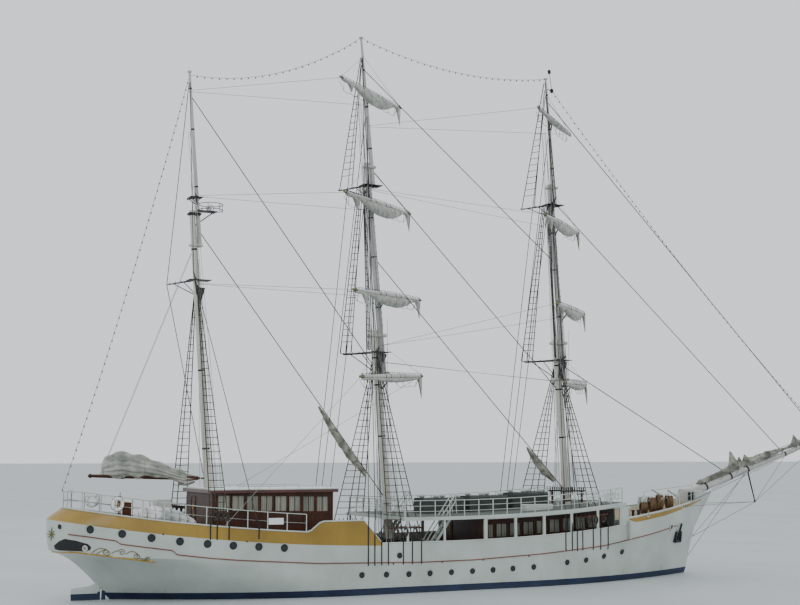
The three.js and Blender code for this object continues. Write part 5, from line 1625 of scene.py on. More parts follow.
# mast, height of the arms, ahead of the lower axis, reach, sweep aft, half thickness
ARMS = {
    "main_top": (MAIN, 14.5, 0.0, 2.8, 1.0, 0.08), "main_crosstrees": (MAIN, 25.15, 0.46, 2.4, 1.05, 0.06),
    "fore_top": (FORE, 14.4, 0.0, 2.6, 0.95, 0.08), "fore_crosstrees": (FORE, 25.0, 0.44, 2.3, 1.0, 0.06),
    "mizzen_spreader": (MIZZEN, 18.42, 0.0, 2.9, 1.0, 0.06),
    "mizzen_hounds": (MIZZEN, 23.4, 0.34, 0.9, 0.35, 0.045),
}
# mast, ahead, foot, head, foot radius, head radius
POLES = {
    "main_lower": (MAIN, 0.0, 1.86, 15.9, 0.27, 0.22), "main_top": (MAIN, 0.46, 13.3, 26.6, 0.2, 0.17),
    "main_topgallant": (MAIN, 0.79, 25.0, 34.76, 0.156, 0.07),
    "fore_lower": (FORE, 0.0, 2.6, 15.8, 0.27, 0.22), "fore_top": (FORE, 0.44, 13.2, 26.4, 0.2, 0.17),
    "fore_topgallant": (FORE, 0.77, 24.85, 33.77, 0.156, 0.07),
    "mizzen_lower": (MIZZEN, 0.0, 3.6, 22.6, 0.24, 0.17),
    "mizzen_top": (MIZZEN, 0.34, 20.4, 31.07, 0.14, 0.07),
}


def arm_point(name, side, share=1.0):
    """A point on an outrigger, at a share of its reach."""
    mast, z, ahead, reach, sweep, _ = ARMS[name]
    return aloft(mast, z, ahead - sweep * share, side * reach * share)


def pole(parts, name, bands=(), sides=20):
    """A tapering pole with iron bands round it at the heights given."""
    mast, ahead, foot, head, r0, r1 = POLES[name]
    start, end = aloft(mast, foot, ahead), aloft(mast, head, ahead)
    steps = [(k / 12, r0 + (r1 - r0) * k / 12) for k in range(13)]
    parts.turn(steps, start, end, sides)
    for z in bands:
        share = (z - foot) / (head - foot)
        r = r0 + (r1 - r0) * share
        low, high = start.lerp(end, share), start.lerp(end, share + 0.1 / (head - foot))
        parts.turn([(0, r + 0.001), (0.1, r + 0.014), (0.9, r + 0.014), (1, r + 0.001)], low, high, sides,
                   index=IRON)


def outrigger(parts, name, futtock):
    """A swept iron arm each side with its bracket below and the hoop that joins them."""
    mast, z, ahead, _, _, half = ARMS[name]
    centre = aloft(mast, z, ahead)
    foot = aloft(mast, z - futtock, ahead)
    for side in (-1, 1):
        tip = arm_point(name, side)
        parts.turn([(0, half), (0.06, half), (0.94, half * 0.62), (1, half * 0.4)], centre, tip, 10,
                   index=IRON)
        parts.rod(0.034, foot, centre.lerp(tip, 0.78), 6, tip=0.026, index=IRON)
        parts.rod(0.03, foot, centre.lerp(tip, 0.42), 6, tip=0.024, index=IRON)
        for share in (0.5, 0.7, 0.9, 1.0):
            eye = centre.lerp(tip, share)
            parts.hoop(eye + Vector((0, 0, half * 0.9)), (1, 0, 0), 0.045, 0.014, 10, 5, index=IRON)
    # flat platform plate round the mast
    x, y = centre.x, 0.62 if half > 0.07 else 0.42
    parts.block(x - 0.5, x + 0.85 if half > 0.05 else x + 0.3, -y, y, z - 0.03, z + 0.01, index=IRON)


def truss_bracket(parts, yard):
    """The fork and pin on the mast that carry a yard."""
    base = aloft(yard["mast"], yard["z"], yard["ahead"])
    tilt = math.atan(yard["mast"]["rake"])
    forward, up = Vector((math.cos(tilt), 0, math.sin(tilt))), Vector((-math.sin(tilt), 0, math.cos(tilt)))
    pivot = base + forward * (yard["offset"] - yard["setting"])
    parts.rod(0.075, base - up * 0.14, pivot + forward * 0.06 - up * 0.14, 8, tip=0.06, index=IRON)
    parts.rod(0.045, pivot - up * 0.15, pivot + up * 0.15, 12, index=IRON)
    parts.rod(0.07, pivot + up * 0.08, pivot + up * 0.15, 12, index=IRON)
    parts.rod(0.05, base - up * 1.0, pivot - up * 0.16, 6, tip=0.04, index=IRON)


YARD_TABLE = [
    # name, mast, height, half length, radius, offset, ahead, brace in degrees
    ("main_course", MAIN, 12.91, 7.2, 0.17, 1.15, 0.0, 41),
    ("main_lower_topsail", MAIN, 18.08, 6.6, 0.15, 0.85, 0.46, 44),
    ("main_upper_topsail", MAIN, 23.95, 6.1, 0.135, 0.68, 0.46, 45),
    ("main_topgallant", MAIN, 31.12, 5.3, 0.11, 0.46, 0.79, 46),
    ("fore_course", FORE, 12.79, 7.0, 0.17, 1.35, 0.0, 39),
    ("fore_lower_topsail", FORE, 17.85, 6.3, 0.15, 1.0, 0.44, 41.5),
    ("fore_upper_topsail", FORE, 23.66, 5.7, 0.135, 0.8, 0.44, 44.5),
    ("fore_topgallant", FORE, 30.79, 5.1, 0.11, 0.48, 0.77, 45),
]
YARDS = [dict(zip(("name", "mast", "z", "half", "radius", "offset", "ahead", "brace"), row),
              setting=row[4] + 0.12)
         for row in YARD_TABLE]


def yard_matrix(yard):
    """From a yard's own axes (x ahead of its pin, y to port along it, z up the mast) to the ship's."""
    tilt = math.atan(yard["mast"]["rake"])
    reach = yard["offset"] - yard["setting"]
    ahead = Vector((math.cos(tilt), 0, math.sin(tilt)))
    pivot = aloft(yard["mast"], yard["z"], yard["ahead"]) + ahead * reach
    return (Matrix.Translation(pivot) @ Matrix.Rotation(-tilt, 4, "Y")
            @ Matrix.Rotation(-math.radians(yard["brace"]), 4, "Z"))


def on_yard(yard, share, ahead=0.0, up=0.0):
    return yard_matrix(yard) @ Vector((yard["setting"] + ahead, yard["half"] * share, up))


def yard_radius(yard, share):
    taper = max(0.0, abs(share) - 0.18) / 0.82
    return yard["radius"] * (1 - 0.5 * taper)


def yard_spars():
    """The yards with their end caps, bands, eyes, parrels and jackstays."""
    for yard in YARDS:
        parts = Parts()
        half, setting = yard["half"], yard["setting"]
        rows = [(k / 24, yard_radius(yard, 2 * k / 24 - 1)) for k in range(25)]
        parts.turn(rows, (setting, -half * 0.93, 0), (setting, half * 0.93, 0), 16)
        for side in (-1, 1):
            r = yard_radius(yard, 0.93)
            parts.turn([(0, r), (0.8, r * 0.9), (1, r * 0.6)], (setting, side * half * 0.925, 0),
                       (setting, side * half, 0), 14, index=GILT)
            for share in (0.9, 0.94, 0.3, 0.15):
                at, rr = side * half * share, yard_radius(yard, share) + 0.012
                parts.turn([(0, rr - 0.01), (0.15, rr), (0.85, rr), (1, rr - 0.01)],
                           (setting, at - 0.045, 0), (setting, at + 0.045, 0), 16, index=IRON)
            parts.hoop((setting, side * half * 0.94, -r - 0.05), (0, 1, 0), 0.05, 0.016, 12, 5, index=IRON)
            parts.hoop((setting, side * half * 0.94, r + 0.05), (0, 1, 0), 0.05, 0.016, 12, 5, index=IRON)
        parts.rod(0.1, (0, 0, -0.065), (0, 0, 0.064), 16, index=IRON)
        parts.block(0.05, setting, -0.07, 0.07, -0.065, 0.063, index=IRON)
        # jackstay rod on short posts along the top
        count = int(half * 1.8 / 0.55)
        for k in range(count + 1):
            share = -0.9 + 1.8 * k / count
            r = yard_radius(yard, share)
            parts.rod(0.018, (setting, share * half, r - 0.01), (setting, share * half, r + 0.085), 5,
                      tip=0.014, index=IRON)
        for side in (-1, 1):
            parts.rod(0.014, (setting, 0, yard["radius"] + 0.08),
                      (setting, side * half * 0.9, yard_radius(yard, 0.9) + 0.08), 6, index=IRON)
        parts.points = [tuple(yard_matrix(yard) @ Vector(p)) for p in parts.points]
        made(yard["name"] + "_spar", parts, [upper_spar_enamel, black_iron, aged_gilding_with_painted_shade], yard["name"],
             replaces=(yard["name"] + "_yard",))


def mast_spars():
    """The masts' poles with their caps, tops, crosstrees, trusses and steps."""
    by_name = {yard["name"]: yard for yard in YARDS}
    for which, mast, top, trees in (("main", MAIN, 14.5, 25.15), ("fore", FORE, 14.4, 25.0)):
        lower, upper = Parts(), Parts()
        pole(lower, which + "_lower", (5.0, 9.2, 12.4, top - 0.4))
        outrigger(lower, which + "_top", 1.35)
        x = aloft(mast, 15.5).x
        lower.block(x - 0.34, x + 0.8, -0.31, 0.31, 15.46, 15.66, 0.05)
        x = aloft(mast, top - 1.25).x
        lower.block(x - 0.4, x + 0.78, -0.27, 0.27, top - 1.34, top - 1.2, 0.03)
        x = aloft(mast, top - 0.1).x + 0.42
        lower.turn([(0, 0.36), (0.12, 0.33), (1, 0.04)], (x, 0, top - 0.1), (x - 0.1, 0, top - 1.35), 14,
                   index=IRON)
        truss_bracket(lower, by_name[which + "_course"])
        made(which + "_lower_mast_pole", lower, [lower_spar_enamel, black_iron],
             replaces=(which + "_lower_mast",))
        pole(upper, which + "_top", (17.3, 20.5, 23.0))
        pole(upper, which + "_topgallant", (27.5, 30.2, 32.6), 16)
        outrigger(upper, which + "_crosstrees", 0.85)
        ahead = POLES[which + "_top"][1]
        for z in (trees - 0.12, trees + 1.1):
            x = aloft(mast, z, ahead).x
            upper.block(x - 0.27, x + 0.57, -0.23, 0.23, z, z + 0.17, 0.04, index=IRON if z < trees else 0)
        _, gallant, _, truck, _, _ = POLES[which + "_topgallant"]
        upper.turn([(0, 0.08), (0.2, 0.14), (0.8, 0.13), (1, 0.05)], aloft(mast, truck - 0.04, gallant),
                   aloft(mast, truck + 0.1, gallant), 16)
        for name in ("_lower_topsail", "_upper_topsail", "_topgallant"):
            truss_bracket(upper, by_name[which + name])
        # iron track up the fore side of the topmast with its steps
        for z in np.arange(16.2, 24.6, 0.42):
            step = aloft(mast, z, ahead)
            r = 0.2 - 0.03 * (z - 13.3) / 13.2
            upper.rod(0.02, step + Vector((r - 0.03, -0.2, 0)), step + Vector((r - 0.03, 0.2, 0)), 5,
                      index=IRON)
        upper.rod(0.028, aloft(mast, 16.0, ahead + 0.2), aloft(mast, 24.7, ahead + 0.185), 6, index=IRON)
        made(which + "_topmast_poles", upper, [upper_spar_enamel, black_iron],
             replaces=(which + "_topmast",))
    lower, upper = Parts(), Parts()
    pole(lower, "mizzen_lower", (5.6, 8.4, 13.0, 20.2))
    outrigger(lower, "mizzen_spreader", 0.95)
    goose = aloft(MIZZEN, 6.72)
    lower.rod(0.05, goose, goose + Vector((-0.42, 0, 0)), 8, tip=0.045, index=IRON)
    for z in (20.42, 22.3):
        x = aloft(MIZZEN, z).x
        lower.block(x - 0.28, x + 0.5, -0.23, 0.23, z, z + 0.16, 0.04, index=IRON if z > 21 else 0)
    x = aloft(MIZZEN, 17.9).x + 0.2
    lower.turn([(0, 0.32), (0.12, 0.29), (1, 0.04)], (x, 0, 17.95), (x - 0.05, 0, 16.8), 14, index=IRON)
    made("mizzen_lower_mast_pole", lower, [lower_spar_enamel, black_iron], replaces=("mizzen_lower_mast",))
    pole(upper, "mizzen_top", (24.0, 27.5, 30.0), 16)
    outrigger(upper, "mizzen_hounds", 0.5)
    upper.turn([(0, 0.07), (0.2, 0.13), (0.8, 0.12), (1, 0.05)], aloft(MIZZEN, 31.03, 0.34),
               aloft(MIZZEN, 31.17, 0.34), 14)
    made("mizzen_topmast_pole", upper, [upper_spar_enamel, black_iron], replaces=("mizzen_topmast",))


# mast, chainplates on one side from aft forward, their feet, and the height where the shrouds are made fast
CHAINS = [
    (MAIN, [-5.21, -4.8, -4.36, -3.93, -2.96, -2.37, -1.77], 1.68, 14.25),
    (FORE, [8.31, 8.8, 9.19, 9.61, 10.45, 11.06, 11.68], 2.1, 14.15),
    (MIZZEN, [-14.66, -14.29, -13.62, -11.9], 3.4, 18.1),
]


def rail_height(x):
    return ochre_cap(x) + 0.05 if x < -9 else (4.3 if x < -4.6 else waist_cap(x) + 0.1)


def sagging(a, b, drop=0.0, steps=12):
    a, b = Vector(a), Vector(b)
    return [a.lerp(b, k / steps) - Vector((0, 0, drop * 4 * (k / steps) * (1 - k / steps)))
            for k in range(steps + 1)]


def rung(pairs, z):
    """Where the lines from low points to high ones pass a height."""
    return [a.lerp(b, (z - a.z) / (b.z - a.z)) for a, b in pairs]


def standing_rigging():
    """Shrouds with ratlines, backstays, chainplates and the coils on the pin rails."""
    shrouds, ratlines, screws, straps, backstays = [], [], [], Parts(), []
    pins, coils = Parts(), Parts()
    for mast, stations, lowest, low in CHAINS:
        which = mast["name"]
        for side in (-1, 1):
            feet = []
            for x in stations:
                top = rail_height(x)
                at, _ = on_skin(x, top - 0.35, side, 0.06)
                foot = Vector((at.x, at.y, top))
                feet.append(foot)
                run = [on_skin(x, z, side, 0.015)[0] for z in np.linspace(lowest, top - 0.1, 6)] + [foot]
                for a, b in zip(run, run[1:]):
                    straps.rod(0.035, a, b, 6)
                screws.append([foot, foot + Vector((0, 0, 0.06))])
            ladder = feet[-4:] if which != "mizzen" else feet[:3]
            # a pin rail lashed inside the shrouds, with a coil of rope hung on every other pin
            a, b = (p + Vector((0.05, -side * 0.1, 0.78)) for p in (ladder[0], ladder[-1]))
            pins.rod(0.05, a, b, 8, index=WOOD)
            for k in range(7):
                at = a.lerp(b, (k + 0.5) / 7)
                pins.turn([(0, 0.014), (0.5, 0.02), (0.9, 0.03), (1, 0.015)], at - Vector((0, 0, 0.17)),
                          at + Vector((0, 0, 0.2)), 8)
                for turn in range(3 if k % 2 else 0):
                    centre = at + Vector((0.02 * turn - 0.02, side * 0.05, -0.2 - 0.03 * turn))
                    coils.hoop(centre, (0.25 * (turn - 1), 1, 0), 0.11 + 0.01 * turn, 0.026, 18, 6, 1.7)
            heads = [aloft(mast, low, -0.02 + 0.02 * k, side * (0.24 if which != "mizzen" else 0.2))
                     for k in range(len(ladder))]
            for foot, head in zip(ladder, heads):
                shrouds.append([foot, head])
                screws.append([foot, foot.lerp(head, 0.62 / (head - foot).length)])
            z = max(f.z for f in ladder) + 0.85
            while z < low - 1.4:
                row = rung(zip(ladder, heads), z)
                ratlines.append([p + Vector((0, 0, -0.012 * (k % 2))) for k, p in enumerate(row)])
                z += 0.4
            backs = [f for f in feet if f not in ladder]
            if which == "mizzen":
                targets = [aloft(MIZZEN, 30.4, 0.3, side * 0.1)]
                over_arm = [arm_point("mizzen_spreader", side)]
            else:
                ahead = POLES[which + "_top"][1]
                gallant = POLES[which + "_topgallant"][1]
                targets = [aloft(mast, 33.4 if which == "main" else 32.6, gallant - 0.05, side * 0.1),
                           aloft(mast, 29.6, gallant - 0.1, side * 0.13),
                           aloft(mast, 24.95, ahead - 0.1, side * 0.2)]
                over_arm = [None, None, None]
            for foot, target, arm in zip(backs, targets, over_arm):
                line = [foot, target] if arm is None else [foot, arm, target]
                backstays.append(line)
                way = line[1] - foot
                screws.append([foot, foot + way * (0.62 / way.length)])
            if which == "mizzen":
                continue
            # topmast shrouds with ratlines from the arm up to the crosstrees, then topgallant shrouds
            centre = aloft(mast, ARMS[which + "_top"][1], 0.0)
            inner = [centre + Vector((-1.0 - 0.24 * k, side * (1.5 + 0.32 * k), 0.05)) for k in range(3)]
            upper = [aloft(mast, ARMS[which + "_crosstrees"][1] - 0.12, ahead - 0.3 - 0.1 * k, side * 0.3)
                     for k in range(3)]
            for a, b in zip(inner, upper):
                shrouds.append([a, b])
                screws.append([a, a.lerp(b, 0.045)])
            for z in np.arange(inner[0].z + 0.7, upper[0].z - 1.0, 0.4):
                ratlines.append(rung(zip(inner, upper), z))
            straps.rod(0.03, inner[0] - Vector((0, 0, 0.05)), inner[2] - Vector((0, 0, 0.05)), 6)
            ladder = [(arm_point(which + "_crosstrees", side, reach),
                       aloft(mast, 33.0 + 0.5 * k, gallant - 0.1, side * 0.08))
                      for k, reach in enumerate((0.55, 0.97))]
            shrouds += [list(pair) for pair in ladder]
            for z in np.arange(ladder[0][0].z + 0.9, 31.6, 0.42):
                a, b = rung(ladder, z)
                ratlines.append([a, a.lerp(b, 0.5) - Vector((0, 0, 0.03)), b])
    wires("shrouds", shrouds, 0.03, tarred_hemp)
    wires("ratlines", ratlines, 0.02, tarred_hemp, sides=4)
    wires("backstays", backstays, 0.023, tarred_hemp)
    wires("rigging_screws", screws, 0.036, black_iron, sides=8)
    made("chainplates", straps, black_iron)
    made("shroud_pin_rails", pins, [black_iron, level_mahogany])
    made("coiled_falls", coils, tarred_hemp)


def bowsprit_stays():
    """Bobstays, the striker's stays and the edges of the net, with the ropes that hold them out."""
    striker = on_bowsprit(26.47) + Vector((0.62, 0, -2.32))
    stem_high, stem_low = on_stem(2.4), on_stem(1.1)
    under = [[on_bowsprit(26.2, -0.25), stem_low], [on_bowsprit(26.3, -0.27), stem_high],
             [on_bowsprit(33.6, -0.1), striker], [on_bowsprit(30.0, -0.15), striker], [striker, stem_high]]
    for side in (-1, 1):
        bow, _ = on_skin(20.2, 4.9, side, 0.03)
        aft, _ = on_skin(19.2, 4.6, side, 0.03)
        under += [[on_bowsprit(26.4, 0, side * 0.25), bow], [on_bowsprit(33.5, 0, side * 0.1), bow],
                  [striker, aft]]

        def net_edge(x):
            return on_bowsprit(x, 0.45, side * (0.62 - 0.03 * (x - 22.5)))

        under.append([net_edge(x) for x in np.arange(22.5, 33.0, 0.7)])
        under += [[on_bowsprit(x, 0.0, side * 0.14), net_edge(x)] for x in np.arange(22.5, 33.0, 1.4)]
    wires("bowsprit_stays", under, 0.018, galvanised_wire)


def crossing_line(name, at_ship, at_yard, radius):
    """A running line from the ship to a spar, left on no body and baked where it hangs."""
    obj = wires(name, [sagging(at_ship, at_yard, 0.0, 20)], radius, braided_line, None, 5)
    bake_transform(obj)


def running_rigging():
    """Braces and lifts of the yards."""
    # brace ends on the next mast aft, or on the deck's edge
    ends = {
        "main_topgallant": aloft(MIZZEN, 29.9, 0.3), "main_upper_topsail": aloft(MIZZEN, 23.5, 0.3),
        "main_lower_topsail": aloft(MIZZEN, 18.2, 0.1),
        "fore_topgallant": aloft(MAIN, 29.0, 0.75), "fore_upper_topsail": aloft(MAIN, 24.9, 0.5),
        "fore_lower_topsail": aloft(MAIN, 14.9, 0.3), "fore_course": aloft(MAIN, 13.9, 0.2),
    }
    lifts = {"main_topgallant": 33.6, "main_upper_topsail": 26.4, "main_course": 15.3,
             "fore_topgallant": 32.7, "fore_upper_topsail": 26.2, "fore_course": 15.2}
    for yard in YARDS:
        name = yard["name"]
        for side, hand in SIDES:
            tip = on_yard(yard, side * 0.94, up=0.08)
            aft = on_yard(yard, side * 0.94, ahead=-0.06)
            if name in ends:
                end = ends[name] + Vector((0, side * 0.16, 0))
            else:
                end = Vector((-13.9, side * 4.3, rail_height(-13.9)))
            crossing_line(f"{name}_brace_{hand}", end, aft, 0.014)
            if name in lifts:
                head = aloft(yard["mast"], lifts[name], yard["ahead"] + 0.1, side * 0.1)
                crossing_line(f"{name}_lift_{hand}", head, tip, 0.012)


def falls():
    """Halyards and buntlines brought down the masts to the pin rails, fanned a little at their feet."""
    lines = []
    for mast, floor, heights in ((MAIN, deck_line, (13.9, 18.6, 24.6, 30.5)),
                                 (FORE, shelter_deck, (13.8, 18.4, 24.4, 30.0))):
        for side in (-1, 1):
            for k in range(8):
                z = heights[k % 4]
                pin = Vector((mast["x"] - 0.6 + 0.16 * k, side * 0.71, floor(mast["x"]) + 0.95))
                high = aloft(mast, z, 0.34 - 0.09 * (k % 3), side * (0.36 - 0.006 * z))
                lines.append(sagging(pin, high, 0.0, 2))
                if k % 2:
                    lines.append([pin, aloft(mast, z - 2.0, 0.9 - 0.1 * k, side * (0.9 - 0.02 * z))])
    for side in (-1, 1):
        for k in range(5):
            lines.append([Vector((MIZZEN["x"] - 0.5 + 0.25 * k, side * 0.5, 6.2)),
                          aloft(MIZZEN, 17.0 + 2.6 * k, 0.1, side * 0.2)])
    wires("halyards_and_buntlines", lines, 0.013, braided_line, sides=5)


def yard_ropes():
    """Footropes with their stirrups, hung behind each yard."""
    for yard in YARDS:
        lines = []
        for side in (-1, 1):
            rope = []
            for k in range(25):
                share = 0.08 + 0.84 * k / 24
                wave = 0.72 - 0.07 * abs(math.sin(math.pi * k / 6))
                drop = wave * min(1.0, (k + 1) / 5) * min(1.0, (25 - k) / 4)
                rope.append(on_yard(yard, side * share, -0.2, -drop))
            lines.append(rope)
            for k in range(3, 24, 6):
                share = 0.08 + 0.84 * k / 24
                lines.append([on_yard(yard, side * share, -0.12), rope[k]])
        wires(yard["name"] + "_footropes", lines, 0.013, tarred_hemp, yard["name"], 5)


def light_strings():
    """Strings of lamps from truck to truck and down to the bowsprit."""
    spans = [
        sagging(aloft(MIZZEN, 30.9, 0.34), aloft(MAIN, 34.78, 0.79), 1.1, 30),
        sagging(aloft(MAIN, 34.78, 0.79), aloft(FORE, 33.78, 0.77), 0.9, 30),
        sagging(aloft(FORE, 33.05, 1.2), on_bowsprit(33.9, 0.1), 0.8, 40),
        sagging(aloft(MIZZEN, 30.9, 0.34), (-22.0, 0, poop_deck(-22.0) + 1.6), 0.8, 20),
    ]
    wires("lamp_cables", spans, 0.011, tarred_hemp, sides=4)
    grown("lamp_bulbs", spans, LAMPS, {"Spacing": 0.46, "Radius": 0.05, "Drop": 0.06}, bulb_glass)


def mast_fittings():
    """The lamp staff ahead of the fore truck and the guarded scanner on the mizzen."""
    # a slanting staff with a drum lamp at each end, on an arm ahead of the fore truck
    parts = Parts()
    foot, head = aloft(FORE, 33.0, 1.22), aloft(FORE, 34.35, 1.1)
    parts.rod(0.03, aloft(FORE, 33.1, 0.75), foot, 8)
    parts.turn([(0, 0.1), (0.04, 0.12), (0.15, 0.12), (0.18, 0.022), (0.82, 0.018), (0.84, 0.11),
                (0.98, 0.11), (1, 0.07)], foot - Vector((0, 0, 0.12)), head + Vector((0, 0, 0.12)), 12)
    made("truck_antennas", parts, black_iron)
    guard, scanner = Parts(), Parts()
    base = aloft(MIZZEN, 22.6, 0.6)
    guard.block(base.x - 0.35, base.x + 0.9, -0.3, 0.3, base.z - 0.03, base.z + 0.02)
    guard.rod(0.035, aloft(MIZZEN, 21.7, 0.1), base + Vector((0.75, 0, 0)), 8, tip=0.03)
    for z in (0.1, 0.45):
        guard.hoop(base + Vector((0.55, 0, z)), (0, 0, 1), 0.72, 0.022, 28, 6)
    for k in range(6):
        a = TURN * k / 6
        out = Vector((0.55 + 0.72 * math.cos(a), 0.72 * math.sin(a), 0))
        guard.rod(0.018, base + out + Vector((0, 0, -0.02)), base + out + Vector((0, 0, 0.46)), 6)
    made("radar_guard", guard, black_iron)
    scanner.turn([(0, 0.16), (0.7, 0.17), (1, 0.1)], base + Vector((0.45, 0, 0.02)),
                 base + Vector((0.45, 0, 0.22)), 16)
    scanner.block(base.x + 0.36, base.x + 0.54, -0.5, 0.5, base.z + 0.24, base.z + 0.36, 0.03)
    made("radar_scanner", scanner, white_plastic)


mast_spars()
yard_spars()
standing_rigging()
bowsprit_stays()
running_rigging()
yard_ropes()
light_strings()
mast_fittings()
for node in ("fore_stay", "fore_topmast_stay", "fore_topgallant_stay", "mizzen_stay", "mizzen_topmast_stay",
             "main_stay", "main_topmast_stay", "main_topgallant_stay"):
    dress(node, tarred_hemp)
falls()




# furled sails
def square_sections(yard):
    """The sail under a yard: a thin roll along the spar, a deep belly, a corner hanging near each end."""
    matrix, half = yard_matrix(yard), yard["half"]
    course = yard["name"].endswith("course")
    deepest = BELLIES.get(yard["name"], 0.62 if yard["mast"] is MAIN else 0.5)
    across = (matrix.to_3x3() @ Vector((1, 0, 0))).normalized()
    up = (matrix.to_3x3() @ Vector((0, 0, 1))).normalized()
    corners = []
    if yard["name"] != "fore_topgallant":
        corners.append((0.87, 1.15, 0.07))
        if not course:
            corners.append((-0.68, 0.45 if yard["name"].endswith("gallant") else 0.75, 0.08))
    rows = []
    for k in range(111):
        share = -0.94 + 1.88 * k / 110
        swell = max(0.0, 1 - (abs(share - 0.06) / 0.62) ** 2.2)
        spike = 0.0
        for at, length, reach in corners:
            near = max(0.0, 1 - abs(share - at) / reach)
            spike = max(spike, (1.2 if course else 1.0) * length * near ** 1.3)
        body = 0.15 + deepest * swell
        drop = body + spike * (1 - swell)
        top = -yard_radius(yard, abs(share)) * 0.75
        wide = (0.1 + 0.12 * swell) * (1 - 0.5 * min(1.0, spike))
        ends = min(1.0, (0.94 - abs(share)) / 0.05 + 0.25)
        centre = matrix @ Vector((yard["setting"] + 0.03 + 0.05 * swell, half * share, top - drop / 2))
        rows.append((centre, across, up, wide * ends, drop / 2 * ends))
    return rows


# how deep the slack hangs, where it isn't the usual depth
BELLIES = {"main_course": 0.12, "main_lower_topsail": 0.5, "fore_topgallant": 0.12, "fore_course": 0.2}


def square_sails():
    for number, yard in enumerate(YARDS):
        rows = square_sections(yard)
        sail = made(yard["name"] + "_furled_sail", bundle(rows, 0.06, 40 + number), sailcloth, yard["name"],
                    edge=70, replaces=("furled_" + yard["name"],))
        gaskets = tied(rows, 1.25, 1.05)
        wires(yard["name"] + "_gaskets", gaskets, 0.008, braided_line, yard["name"], 5)


# x, low, high, half width: slack pleats at the mast, tall and full towards the after end
SPANKER = [(-14.35, 6.3, 6.95, 0.12), (-15.0, 6.45, 7.12, 0.2), (-15.8, 6.66, 7.36, 0.24),
           (-16.6, 6.76, 7.66, 0.28), (-17.4, 6.78, 7.95, 0.32), (-18.3, 6.8, 8.15, 0.36),
           (-19.1, 6.82, 8.2, 0.32), (-19.8, 6.86, 7.85, 0.18)]


def spanker_gear():
    """The furled spanker, its gaskets, the boom and the topping lifts."""
    xs, low, high, wide = (np.array([row[k] for row in SPANKER]) for k in range(4))
    across, upward = Vector((0, 1, 0)), Vector((0, 0, 1))
    rows = []
    for x in np.linspace(-14.9, -19.85, 120):
        bottom, top = np.interp(-x, -xs, low), np.interp(-x, -xs, high)
        end = min(1.0, (x + 19.9) / 0.25 + 0.2, (-14.82 - x) / 0.3 + 0.3)
        rows.append((Vector((x, 0, (bottom + top) / 2)), across, upward,
                     np.interp(-x, -xs, wide) * 0.98 * end, (top - bottom) / 2 * end))
    cloth = Parts()
    cloth.add(pleated(rows, 13, 0.26, 77))
    # slack pleats drawn together at the mast
    for k in range(6):
        aside, height = 0.09 * (-1) ** k, 6.28 + 0.13 * k
        inner, outer = Vector((-14.36, aside * 0.6, 6.5 + 0.07 * k)), Vector((-15.35, aside, height + 0.16))
        strand = []
        for j in range(11):
            share = j / 10
            centre = inner.lerp(outer, share) - upward * (0.12 * 4 * share * (1 - share) * (1 - k / 7))
            strand.append((centre, across, upward, 0.035 + 0.05 * share, 0.03 + 0.045 * share))
        cloth.add(bundle(strand, 0.15, 60 + k, 10))
    sail = made("spanker_furled_sail", cloth, sailcloth, "spanker", edge=70, replaces=("furled_spanker",))
    wires("spanker_gaskets", tied(rows[8:-6], 1.5, 1.02, 22), 0.012, braided_line, "spanker", 5)
    boom = Parts()
    start, end = aloft(MIZZEN, 6.72) + Vector((-0.48, 0, 0)), Vector((-20.6, 0, 6.9))
    boom.turn([(0, 0.07), (0.03, 0.11), (0.3, 0.125), (0.8, 0.11), (1, 0.085)], start, end, 18)
    for share in (0.02, 0.35, 0.7, 0.975):
        a, b = start.lerp(end, share), start.lerp(end, share + 0.012)
        boom.turn([(0, 0.12), (0.2, 0.135), (0.8, 0.135), (1, 0.12)], a, b, 18, index=IRON)
    made("spanker_boom_spar", boom, [level_mahogany, black_iron], "spanker", replaces=("spanker_boom",))
    for side, hand in SIDES:
        crossing_line(f"spanker_topping_lift_{hand}", aloft(MIZZEN, 20.0, -0.2, side * 0.12),
                      Vector((-19.9, side * 0.12, 6.98)), 0.014)


def bundle_on(name, start, end, profile, seed, peak=(), replaces=()):
    """A headsail furled along a line: profile is (share, half width, half depth, lift)."""
    across, up = frame_along(end - start)
    shares = [row[0] for row in profile]
    rows = []
    for k in range(61):
        share = k / 60
        wide, deep, lift = (float(np.interp(share, shares, [row[c] for row in profile])) for c in (1, 2, 3))
        for at, reach, height in peak:
            near = max(0.0, 1 - abs(share - at) / reach)
            deep += height * near ** 1.5 / 2
            lift += height * near ** 1.5 / 2
            wide *= 1 - 0.5 * near
        rows.append((start.lerp(end, share) + up * lift, across, up, wide, deep))
    sail = made(name, bundle(rows, 0.22, seed), headsail_cloth, edge=70, replaces=replaces)
    wires(name + "_ties", tied(rows, 0.75, 1.05), 0.012, manila_rope, sides=5)


